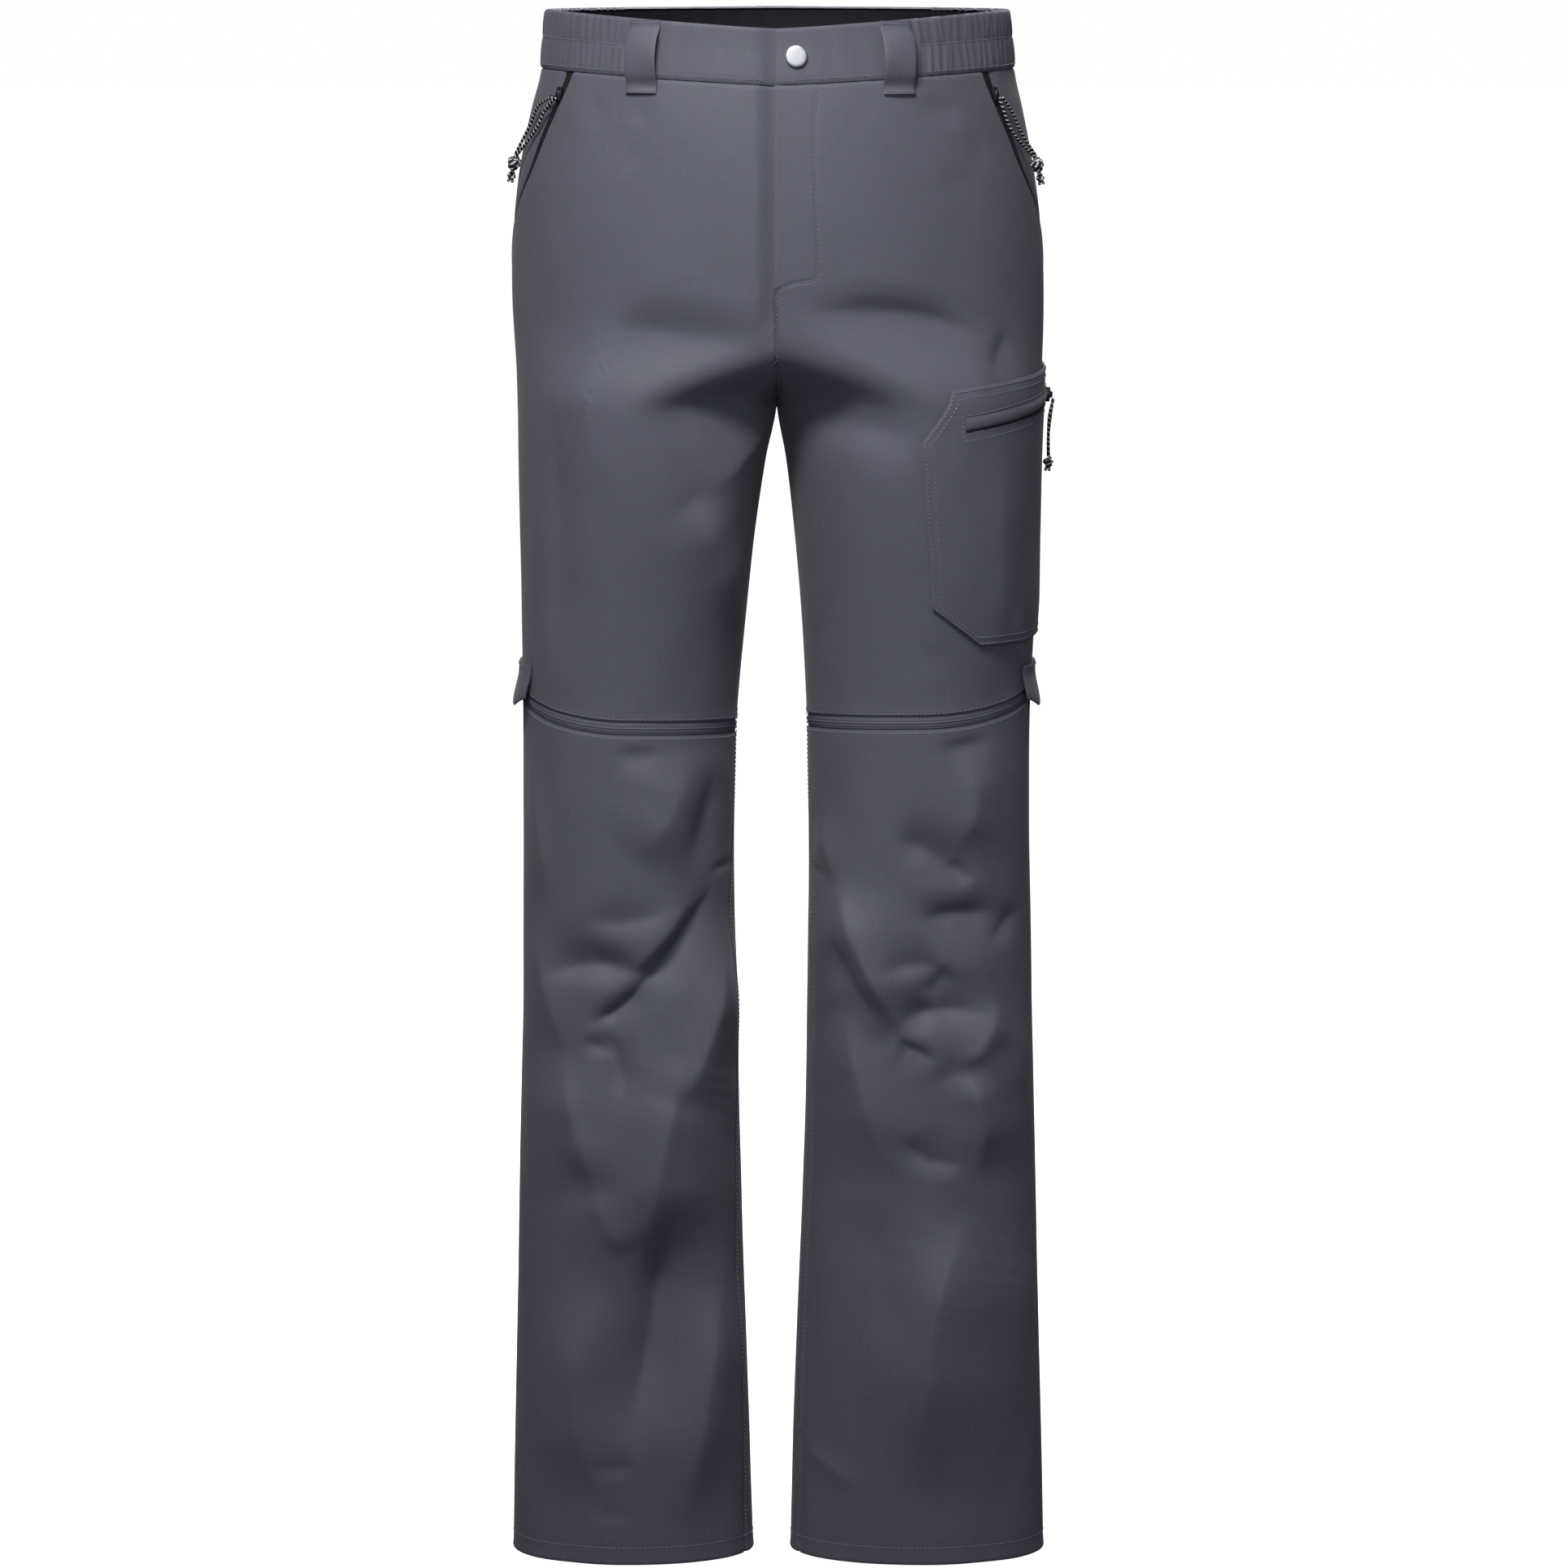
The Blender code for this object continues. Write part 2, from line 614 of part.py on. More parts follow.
def add_lower_front(side):
    """Front of the lower leg, from the knee zip to the hem."""
    angles = even_columns(
        lambda z: inner_edge(z) + seam_angle(z), lambda z: SIDE_SEAM - seam_angle(z), FRONT_COLUMNS
    )
    theta, z = lower_grid(side, angles, FRONT_COLUMNS, LOWER_HEIGHTS)
    add_cloth(f"lower_front_{SIDE_NAMES[side]}", side, theta, z, colour=CLOTH_LOW)


def add_lower_back(side):
    """Back of the lower leg, on the front's rows, with every other one lower down."""
    close = [z for z in LOWER_HEIGHTS if z > BACK_SKIPS_BELOW]
    wide = [z for z in LOWER_HEIGHTS if z <= BACK_SKIPS_BELOW][1::2]
    angles = even_columns(
        lambda z: 360.0 + inner_edge(z) - seam_angle(z),
        lambda z: SIDE_SEAM + seam_angle(z),
        BACK_COLUMNS,
    )
    theta, z = lower_grid(side, angles, BACK_COLUMNS, close + wide)
    add_cloth(f"lower_back_{SIDE_NAMES[side]}", side, theta, z, colour=CLOTH_LOW)


def band_grid(angles, rows=3):
    """Heights of a stretch of the waistband at the given angles."""
    theta = np.asarray(angles, float)[None, :] + np.zeros((rows, 1))
    t = np.linspace(0.0, 1.0, rows)[:, None]
    z = (1 - t) * waist_top(theta) + t * (waist_seam(theta) + 0.5 * SEAM_GAP)
    return theta, z


def add_band_front(side):
    """Plain front of the waistband. The right one runs on under the left one."""
    end = LOOP_ANGLE[side] - float(seam_angle(0.0))
    out = BAND_PROUD
    if side == LEFT:
        start = float(angle_at(LEFT, FLY_SHIFT + CENTRE_GAP, 0.0))
        theta, z = band_grid(np.linspace(start, end, 9))
    else:
        under = np.linspace(BAND_UNDERLAP, -FLY_STEP_INNER, 4)
        hidden = [float(angle_at(RIGHT, x, 0.0)) for x in under]
        shown = np.linspace(float(angle_at(RIGHT, -FLY_STEP_OUTER, 0.0)), end, 8)
        theta, z = band_grid([*hidden, *shown])
        x = base_point(side, theta, z)[..., 0]
        out = BAND_PROUD - BAND_RECESS * smooth_step(x, -FLY_STEP_OUTER, -FLY_STEP_INNER)
    add_cloth(f"waistband_front_{SIDE_NAMES[side]}", side, theta, z, out, BAND_WALL, BAND)


def add_band_back():
    """Plain back of the waistband, in one piece across the centre back."""
    gap = float(seam_angle(0.0))
    theta, z = band_grid(np.linspace(ELASTIC_END + gap, 360 - ELASTIC_END - gap, 13))
    add_cloth("waistband_back", LEFT, theta, z, BAND_PROUD, BAND_WALL, BAND)


def add_band_elastic(side):
    """Gathered side of the waistband: two rows of gathers over a plain inside."""
    gap = float(seam_angle(0.0))
    columns = 2 * GATHERS
    ends = LOOP_ANGLE[side] + gap, ELASTIC_END - gap
    theta, z = band_grid(np.linspace(*ends, columns + 1), rows=5)
    ridge = np.where(np.arange(columns + 1) % 2 == 1, 1.0, -0.4)
    near_end = smooth_step(theta, LOOP_ANGLE[side] + 4.0, LOOP_ANGLE[side] + 8.0)
    far_end = 1 - smooth_step(theta, ELASTIC_END - 8.0, ELASTIC_END - 5.0)
    rows = np.array([0.35, 1.0, 0.1, 1.0, 0.2])[:, None]
    lift = GATHER_HEIGHT * ridge[None, :] * near_end * far_end * rows
    outer = surface(side, theta, z, 0.0004 + lift)
    inner = surface(side, theta[[0, -1]], z[[0, -1]], BAND_PROUD - BAND_WALL)
    name = f"waistband_elastic_{SIDE_NAMES[side]}"
    add_object(name, wall_mesh(name, outer, inner), BAND)


class LoopStep(NamedTuple):
    """Belt loop: share of its height from the top, and its inner face's lift in mm."""

    share: float
    lift: float


LOOP_STEPS = [
    LoopStep(0.00, 1.4),
    LoopStep(0.10, 1.4),
    LoopStep(0.24, 5.6),
    LoopStep(0.36, 7.0),
    LoopStep(0.62, 7.0),
    LoopStep(0.76, 5.0),
    LoopStep(0.90, 0.8),
    LoopStep(1.00, 0.8),
]


def add_belt_loop(name, side, angle):
    """Strap standing off the waistband, sewn down above and below."""
    top = float(waist_top(angle)) - 0.0005
    bottom = float(waist_seam(angle)) - LOOP_TAIL
    middle = base_point(side, np.array(angle), np.array(0.0))
    ahead = base_point(side, np.array(angle + 1.0), np.array(0.0))
    half_angle = LOOP_HALF_WIDTH / float(np.linalg.norm(ahead - middle))
    theta = angle + np.array([-1.0, 0.0, 1.0])[None, :] * half_angle
    share = np.array([step.share for step in LOOP_STEPS])[:, None]
    lift = np.array([step.lift for step in LOOP_STEPS])[:, None] * MM
    z = (1 - share) * top + share * bottom
    theta = theta + 0.0 * z
    z = z + 0.0 * theta
    outer = surface(side, theta, z, lift + LOOP_WALL)
    inner = surface(side, theta, z, lift)
    add_object(name, wall_mesh(name, outer, inner), BAND)


def add_hand_pocket(side):
    """Facing and zip tape of the slanted hand pocket, on the front panel's own rows."""
    name = SIDE_NAMES[side]
    angles = even_columns(facing_start, lambda z: SIDE_SEAM - seam_angle(z), 4)
    theta, z = upper_grid(side, angles, 4)
    rows = POCKET_FACING_ROWS
    add_cloth(f"hand_pocket_facing_{name}", side, theta[:rows], z[:rows], colour=CLOTH_LOW)
    angles = even_columns(lambda z: pocket_edge(z) + 2 * seam_angle(z), pocket_zip_edge, 2)
    theta, z = upper_grid(side, angles, 2)
    rows = POCKET_ZIP_ROWS
    add_cloth(f"hand_zip_{name}", side, theta[:rows], z[:rows], -POCKET_ZIP_RECESS,
              POCKET_ZIP_WALL, TAPE)


class PocketRow(NamedTuple):
    """Cargo pocket: its front edge's angle and height, and its rear edge's height."""

    share: float
    angle: float
    z: float
    rear_z: float


CARGO_ROWS = [
    PocketRow(0.00, 21.0, -237.0, -219.0),
    PocketRow(0.20, 3.5, -273.0, -258.0),
    PocketRow(0.84, 5.5, -387.0, -385.0),
    PocketRow(1.00, 29.5, -414.0, -412.0),
]
CARGO_SHARES = [0.0, 0.05, 0.10, 0.15, 0.20, 0.31, 0.42, 0.53, 0.64, 0.74, 0.84, 0.88, 0.92, 0.96, 1.0]
CARGO_REAR = 130.0
CARGO_WALL = 0.0018


def cargo_edge(column, share):
    """One column of the cargo pocket's table, with straight edges between its rows."""
    shares = [row.share for row in CARGO_ROWS]
    return np.interp(share, shares, [getattr(row, column) for row in CARGO_ROWS])


def add_cargo_pocket():
    """Patch pocket on the wearer's left thigh, with its two front corners cut off."""
    share = np.array(CARGO_SHARES)[:, None]
    u = np.linspace(0.0, 1.0, len(CARGO_SHARES))[None, :]
    theta = cargo_edge("angle", share) * (1 - u) + CARGO_REAR * u
    z = (cargo_edge("z", share) * (1 - u) + cargo_edge("rear_z", share) * u) * MM
    add_cloth("cargo_pocket", LEFT, theta, z, LAYER_GAP + CARGO_WALL, CARGO_WALL)


CARGO_ZIP_START, CARGO_ZIP_END = 23.0, 93.0
CARGO_ZIP_TOP, CARGO_ZIP_RISE, CARGO_ZIP_HEIGHT = -0.2555, 0.0150, 0.0140
CARGO_ZIP_WALL = 0.0010
CARGO_ZIP_OUT = 2 * LAYER_GAP + CARGO_WALL + CARGO_ZIP_WALL


def add_cargo_zip():
    """Slanted zip tape on the cargo pocket."""
    u = np.linspace(0.0, 1.0, 11)[None, :]
    theta = CARGO_ZIP_START + (CARGO_ZIP_END - CARGO_ZIP_START) * u
    theta = theta + np.zeros((3, 1))
    down = np.array([0.0, 0.5, 1.0])[:, None] * CARGO_ZIP_HEIGHT
    z = CARGO_ZIP_TOP + CARGO_ZIP_RISE * u - down
    add_cloth("cargo_zip", LEFT, theta, z, CARGO_ZIP_OUT, CARGO_ZIP_WALL, TAPE)


def add_knee_zip(side):
    """Ring of zip tape behind the gap between the upper and the lower leg."""
    front = np.linspace(INSEAM, SIDE_SEAM, FRONT_COLUMNS + 1)
    back = np.linspace(SIDE_SEAM, INSEAM + 360, BACK_COLUMNS + 1)[1:-1]
    theta = np.concatenate([front, back])[None, :] + np.zeros((3, 1))
    down = np.array([-1.0, 0.0, 1.0])[:, None] * KNEE_TAPE_HALF
    z = knee_line(side, theta) - 0.5 * KNEE_OPEN - down
    outer = surface(side, theta, z, -KNEE_TAPE_DEPTH)
    inner = surface(side, theta, z, -KNEE_TAPE_DEPTH - KNEE_TAPE_WALL)
    name = f"knee_zip_{SIDE_NAMES[side]}"
    add_object(name, wall_mesh(name, outer, inner, closed=True), TAPE)


FLAP_START, FLAP_END = 62.0, 118.0
FLAP_TOP, FLAP_BOTTOM = -0.4320, -0.4640
FLAP_WALL, FLAP_LIFT = 0.0016, 0.0048
FLAP_END_SHARE = 0.72


def add_knee_flap(side):
    """Short flap over the knee zip's slider, standing off at its lower edge."""
    theta = np.linspace(FLAP_START, FLAP_END, 7)[None, :] + np.zeros((5, 1))
    share = np.linspace(0.0, 1.0, 5)[:, None]
    shape = np.sin(np.pi * (theta - FLAP_START) / (FLAP_END - FLAP_START))
    depth = FLAP_END_SHARE + (1 - FLAP_END_SHARE) * shape
    z = FLAP_TOP + (FLAP_BOTTOM - FLAP_TOP) * share * depth
    out = LAYER_GAP + FLAP_WALL + FLAP_LIFT * smooth_step(share, 0.15, 1.0) + 0.0 * theta
    add_cloth(f"knee_flap_{SIDE_NAMES[side]}", side, theta, z, out, FLAP_WALL)


def surface_frame(side, angle, z, out):
    """Matrix at a point of the surface: X round the leg, Y out, Z up along it."""
    angle, z = np.array(float(angle)), np.array(float(z))
    origin = Vector(base_point(side, angle, z)) + Vector(base_normal(side, angle, z)) * out
    outward = Vector(base_normal(side, angle, z))
    around = Vector((0, 0, 1)).cross(outward).normalized()
    up = outward.cross(around)
    frame = Matrix((around, outward, up)).transposed().to_4x4()
    frame.translation = origin
    return frame


class SliderStation(NamedTuple):
    """Slider body: height along it and half-width, as shares of its length and width."""

    along: float
    half: float


SLIDER_STATIONS = [
    SliderStation(-0.50, 0.62),
    SliderStation(-0.20, 1.00),
    SliderStation(0.25, 0.90),
    SliderStation(0.50, 0.45),
]


def add_slider(name, frame, length, width, thickness):
    """Zip slider: a tapered body with a rounded top."""
    profile = [(-1.0, 0.0), (1.0, 0.0), (1.0, 0.55), (0.55, 1.0), (-0.55, 1.0), (-1.0, 0.55)]
    points = []
    for station in SLIDER_STATIONS:
        for across, out in profile:
            points.append((across * station.half * width / 2, out * thickness,
                           station.along * length))
    count = len(profile)
    faces = [tuple(reversed(range(count))),
             tuple(range(count * (len(SLIDER_STATIONS) - 1), count * len(SLIDER_STATIONS)))]
    for i in range(len(SLIDER_STATIONS) - 1):
        for j in range(count):
            low, high = i * count, (i + 1) * count
            faces.append((low + j, low + (j + 1) % count, high + (j + 1) % count, high + j))
    mesh = bpy.data.meshes.new(name)
    mesh.from_pydata(points, [], faces)
    if signed_volume(np.array(points), faces) < 0:
        mesh.flip_normals()
    piece = add_object(name, mesh, METAL, 0.35, 0.8)
    piece.matrix_world = frame
    return piece


class TurnStep(NamedTuple):
    """Turned piece: distance along its axis and radius, in millimetres."""

    along: float
    radius: float


SNAP_STEPS = [
    TurnStep(0.0, 7.3),
    TurnStep(1.6, 7.5),
    TurnStep(2.4, 6.9),
    TurnStep(2.6, 5.6),
    TurnStep(2.2, 4.9),
    TurnStep(2.3, 2.4),
]
LONG_KNOT = [
    TurnStep(0.0, 2.5),
    TurnStep(1.6, 4.0),
    TurnStep(4.8, 4.9),
    TurnStep(8.0, 3.8),
    TurnStep(9.6, 1.9),
    TurnStep(13.0, 1.8),
    TurnStep(15.5, 2.9),
    TurnStep(18.5, 2.4),
]
SHORT_KNOT = [
    TurnStep(0.0, 2.4),
    TurnStep(1.4, 3.1),
    TurnStep(3.6, 3.6),
    TurnStep(6.0, 2.8),
    TurnStep(8.5, 1.8),
]


def turned_mesh(name, steps, sides):
    """Solid of revolution about local Y, closed by flat ends."""
    points, faces = [], []
    for step in steps:
        for k in range(sides):
            turn = 2 * math.pi * k / sides
            points.append((step.radius * MM * math.cos(turn), step.along * MM,
                           step.radius * MM * math.sin(turn)))
    for i in range(len(steps) - 1):
        for k in range(sides):
            low, high = i * sides, (i + 1) * sides
            faces.append((low + k, low + (k + 1) % sides, high + (k + 1) % sides, high + k))
    faces.append(tuple(reversed(range(sides))))
    faces.append(tuple(range(len(points) - sides, len(points))))
    mesh = bpy.data.meshes.new(name)
    mesh.from_pydata(points, [], faces)
    if signed_volume(np.array(points), faces) < 0:
        mesh.flip_normals()
    return mesh


SNAP_X, SNAP_Z = 0.0133, -0.0124


def add_snap():
    """Round snap on the waistband's overlap."""
    angle = float(angle_at(LEFT, SNAP_X, SNAP_Z))
    piece = add_object("snap_button", turned_mesh("snap_button", SNAP_STEPS, 20), SILVER, 0.3, 0.9)
    piece.matrix_world = surface_frame(LEFT, angle, SNAP_Z, BAND_PROUD + 0.0005)


class CordPoint(NamedTuple):
    """A point on a cord: angle, height in mm and distance out in mm."""

    angle: float
    z: float
    out: float


CORD_RADIUS = 0.0011
STRANDS = {
    "pull_strand_left_front": (LEFT, [
        CordPoint(61.5, -41.5, 4.6), CordPoint(63.5, -53.0, 3.4), CordPoint(67.2, -66.0, 2.4),
        CordPoint(76.3, -83.4, 5.9),
    ]),
    "pull_strand_left_rear": (LEFT, [
        CordPoint(62.9, -41.5, 4.6), CordPoint(66.8, -50.0, 4.0), CordPoint(72.6, -67.0, 2.8),
        CordPoint(77.7, -82.2, 5.9),
    ]),
    "pull_strand_right_front": (RIGHT, [
        CordPoint(61.3, -41.5, 4.6), CordPoint(66.0, -50.0, 3.4), CordPoint(70.0, -63.0, 2.4),
        CordPoint(79.2, -82.3, 5.9),
    ]),
    "pull_strand_right_rear": (RIGHT, [
        CordPoint(63.2, -41.0, 4.6), CordPoint(70.0, -47.5, 4.4), CordPoint(75.4, -62.0, 3.0),
        CordPoint(80.6, -81.2, 5.9),
    ]),
    "pull_strand_cargo_front": (LEFT, [
        CordPoint(90.2, -249.5, 9.2), CordPoint(90.4, -262.0, 7.2), CordPoint(91.6, -276.0, 7.4),
        CordPoint(93.0, -290.3, 8.4),
    ]),
    "pull_strand_cargo_rear": (LEFT, [
        CordPoint(91.8, -249.5, 9.2), CordPoint(94.6, -261.0, 8.8), CordPoint(95.8, -276.0, 8.2),
        CordPoint(94.6, -290.3, 8.4),
    ]),
}
KNOTS = {
    "pull_knot_left": (LEFT, LONG_KNOT, CordPoint(77.0, -83.5, 5.9), CordPoint(79.6, -97.0, 5.4)),
    "pull_knot_right": (RIGHT, LONG_KNOT, CordPoint(79.9, -82.5, 5.9), CordPoint(83.0, -96.0, 5.4)),
    "pull_knot_cargo": (LEFT, SHORT_KNOT, CordPoint(93.8, -290.8, 8.4), CordPoint(93.9, -300.0, 8.0)),
}
CORD_STEPS = 10


def cord_position(side, point):
    """World position of a cord's point."""
    angle, z = np.array(point.angle), np.array(point.z * MM)
    place = base_point(side, angle, z) + base_normal(side, angle, z) * point.out * MM
    return Vector(place)


def add_strand(name, side, route):
    """Thin round cord through its points, as a smooth curve."""
    places = np.array([cord_position(side, point) for point in route])
    keys = np.arange(len(places), dtype=float)
    slopes = np.gradient(places, axis=0)
    samples = np.linspace(0.0, keys[-1], CORD_STEPS)
    curve = bpy.data.curves.new(name, "CURVE")
    curve.dimensions = "3D"
    curve.bevel_depth = CORD_RADIUS
    curve.bevel_resolution = 2
    curve.use_fill_caps = True
    spline = curve.splines.new("POLY")
    spline.points.add(CORD_STEPS - 1)
    for target, x in zip(spline.points, samples):
        i = min(int(x), len(places) - 2)
        t = x - i
        place = (
            places[i] * (1 + 2 * t) * (1 - t) ** 2
            + slopes[i] * t * (1 - t) ** 2
            + places[i + 1] * t * t * (3 - 2 * t)
            + slopes[i + 1] * t * t * (t - 1)
        )
        target.co = (*place, 1.0)
    return add_object(name, curve, DARK, 0.7)


def add_knot(name, side, steps, start, end):
    """Knot that joins two strands, with its cord ends below it."""
    origin = cord_position(side, start)
    along = (cord_position(side, end) - origin).normalized()
    across = along.cross(Vector((0, 1, 0))).normalized()
    third = across.cross(along)
    frame = Matrix((across, along, third)).transposed().to_4x4()
    frame.translation = origin
    piece = add_object(name, turned_mesh(name, steps, 8), DARK, 0.7)
    piece.matrix_world = frame


# Each slider's length, width and thickness, and how far each one stands off its tape
HAND_SLIDER = (0.0095, 0.0064, 0.0026)
KNEE_SLIDER = (0.0072, 0.0070, 0.0028)
CARGO_SLIDER = (0.0100, 0.0070, 0.0026)
HAND_SLIDER_Z, HAND_SLIDER_GAP = -0.0385, 0.0005
KNEE_SLIDER_ANGLE, KNEE_SLIDER_LINE_ANGLE, KNEE_SLIDER_GAP = 88.0, 84.0, 0.0006
CARGO_SLIDER_ANGLE, CARGO_SLIDER_GAP, CARGO_SLIDER_RISE = 91.0, 0.0005, 0.001


def add_sliders():
    """The five zip sliders."""
    for side in (LEFT, RIGHT):
        name = SIDE_NAMES[side]
        angle = float(pocket_edge(HAND_SLIDER_Z)) + 0.5 * POCKET_ZIP_DEGREES
        frame = surface_frame(side, angle, HAND_SLIDER_Z, HAND_SLIDER_GAP)
        add_slider(f"hand_slider_{name}", frame, *HAND_SLIDER)
        knee_z = float(knee_line(side, KNEE_SLIDER_LINE_ANGLE)) - 0.5 * KNEE_OPEN
        frame = surface_frame(side, KNEE_SLIDER_ANGLE, knee_z, KNEE_SLIDER_GAP - KNEE_TAPE_DEPTH)
        add_slider(f"knee_slider_{name}", frame, *KNEE_SLIDER)
    cargo_z = CARGO_ZIP_TOP + CARGO_ZIP_RISE - 0.5 * CARGO_ZIP_HEIGHT + CARGO_SLIDER_RISE
    frame = surface_frame(LEFT, CARGO_SLIDER_ANGLE, cargo_z, CARGO_ZIP_OUT + CARGO_SLIDER_GAP)
    add_slider("cargo_slider", frame, *CARGO_SLIDER)


def main():
    """Build the trousers."""
    for old in list(bpy.data.objects):
        bpy.data.objects.remove(old, do_unlink=True)
    for side in (LEFT, RIGHT):
        add_upper_front(side)
        add_upper_back(side)
        add_lower_front(side)
        add_lower_back(side)
        add_band_front(side)
        add_band_elastic(side)
        add_hand_pocket(side)
        add_knee_zip(side)
        add_knee_flap(side)
        add_belt_loop(f"belt_loop_front_{SIDE_NAMES[side]}", side, LOOP_ANGLE[side])
        add_belt_loop(f"belt_loop_back_{SIDE_NAMES[side]}", side, ELASTIC_END)
    add_belt_loop("belt_loop_back_centre", LEFT, 180.0)
    add_band_back()
    add_cargo_pocket()
    add_cargo_zip()
    add_snap()
    add_sliders()
    for name, (side, route) in STRANDS.items():
        add_strand(name, side, route)
    for name, (side, steps, start, end) in KNOTS.items():
        add_knot(name, side, steps, start, end)


main()
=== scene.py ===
"""Looks of a pair of convertible zip-off trousers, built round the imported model.

Metres, +Z up. The front faces -Y and the wearer's left leg is at +X. A point of the cloth
has an angle in degrees round its leg (0 front, 90 outer side, 180 back, -90 or 270 inner
side), a height z, and a distance out along the normal, as in the part's own source.
"""

import logging
import math
from dataclasses import dataclass
from enum import Enum
from typing import Callable, NamedTuple, Sequence

import bpy
import numpy as np
from mathutils import Matrix, Vector


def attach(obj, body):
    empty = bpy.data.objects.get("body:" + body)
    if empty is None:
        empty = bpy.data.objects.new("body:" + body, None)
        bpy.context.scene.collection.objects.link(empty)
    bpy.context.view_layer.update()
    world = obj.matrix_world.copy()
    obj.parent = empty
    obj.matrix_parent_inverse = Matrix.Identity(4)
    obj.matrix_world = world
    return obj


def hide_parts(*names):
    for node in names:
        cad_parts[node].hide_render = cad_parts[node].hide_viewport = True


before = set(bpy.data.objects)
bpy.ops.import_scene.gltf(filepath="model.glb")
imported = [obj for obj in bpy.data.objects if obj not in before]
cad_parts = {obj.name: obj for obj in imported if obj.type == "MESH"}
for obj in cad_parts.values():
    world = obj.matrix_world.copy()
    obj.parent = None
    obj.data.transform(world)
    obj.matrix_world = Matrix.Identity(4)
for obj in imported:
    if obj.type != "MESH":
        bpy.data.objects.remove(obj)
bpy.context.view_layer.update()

LOG = logging.getLogger("trousers")
MM = 0.001
BODY = "root"


class Leg(Enum):
    """One leg, by the sign of its x."""

    LEFT = 1
    RIGHT = -1

    @property
    def word(self) -> str:
        """The leg's name in the names of its pieces."""
        return self.name.lower()


class Slot(Enum):
    """The record's material slots."""

    CLOTH = "cloth"
    TAPE = "zip_tape"
    SLIDER = "slider_metal"
    SNAP = "snap_metal"
    CORD = "cord"


class Section(NamedTuple):
    """Both legs at one height, in millimetres: outline from the front, and depths."""

    z: float
    right_outer: float
    right_inner: float
    left_inner: float
    left_outer: float
    front: float
    back: float


SECTIONS = [
    Section(30, 158.0, 0.2, 0.2, 159.0, 111, 115),
    Section(19, 159.0, 0.2, 0.2, 160.0, 112, 117),
    Section(-8, 161.5, 0.2, 0.2, 163.0, 113, 120),
    Section(-24, 163.0, 0.2, 0.2, 164.6, 115, 123),
    Section(-47, 169.2, 0.2, 0.2, 169.8, 118, 127),
    Section(-86, 177.3, 0.2, 0.2, 177.4, 121, 131),
    Section(-131, 182.4, 0.2, 0.2, 183.2, 121, 132),
    Section(-176, 183.4, 0.2, 0.2, 185.2, 119, 128),
    Section(-232, 180.8, 0.2, 0.2, 184.2, 113, 117),
    Section(-254, 180.3, 0.2, 0.2, 183.0, 110, 112),
    Section(-289, 179.8, 7.3, 6.2, 181.5, 106, 105),
    Section(-340, 179.0, 14.7, 11.9, 180.6, 98, 96),
    Section(-397, 178.3, 21.0, 17.0, 180.2, 87, 84),
    Section(-468, 177.7, 27.6, 20.9, 177.4, 76, 73),
    Section(-540, 178.0, 29.7, 22.2, 177.4, 71, 69),
    Section(-656, 178.7, 28.7, 21.7, 179.8, 65, 66),
    Section(-772, 181.6, 26.0, 19.5, 182.7, 61, 62),
    Section(-890, 184.3, 22.6, 14.9, 185.8, 57, 58),
    Section(-1009, 187.3, 18.7, 10.9, 189.3, 54, 55),
    Section(-1075, 188.6, 16.5, 9.4, 190.8, 53, 54),
]


class PocketEdge(NamedTuple):
    """Hand pocket opening: height in millimetres and angle of the front's edge."""

    z: float
    angle: float


POCKET_EDGE = [
    PocketEdge(-20, 58.0),
    PocketEdge(-36, 60.0),
    PocketEdge(-64, 65.0),
    PocketEdge(-89, 70.0),
    PocketEdge(-112, 78.0),
    PocketEdge(-131, 85.0),
    PocketEdge(-150, 90.0),
    PocketEdge(-164, 93.6),
    PocketEdge(-179, 94.8),
]


class Crease(NamedTuple):
    """One fold of the cloth, through three points seen from the front, in millimetres.

    left and right are its widths on the left and right of the way from the first point
    to the last one. A negative height is a valley. A sharpness of 2 is soft, and a lower
    one gives a crisper crest.
    """

    leg: Leg
    back: bool
    x0: float
    z0: float
    x1: float
    z1: float
    x2: float
    z2: float
    left: float
    right: float
    height: float
    sharpness: float = 2.0


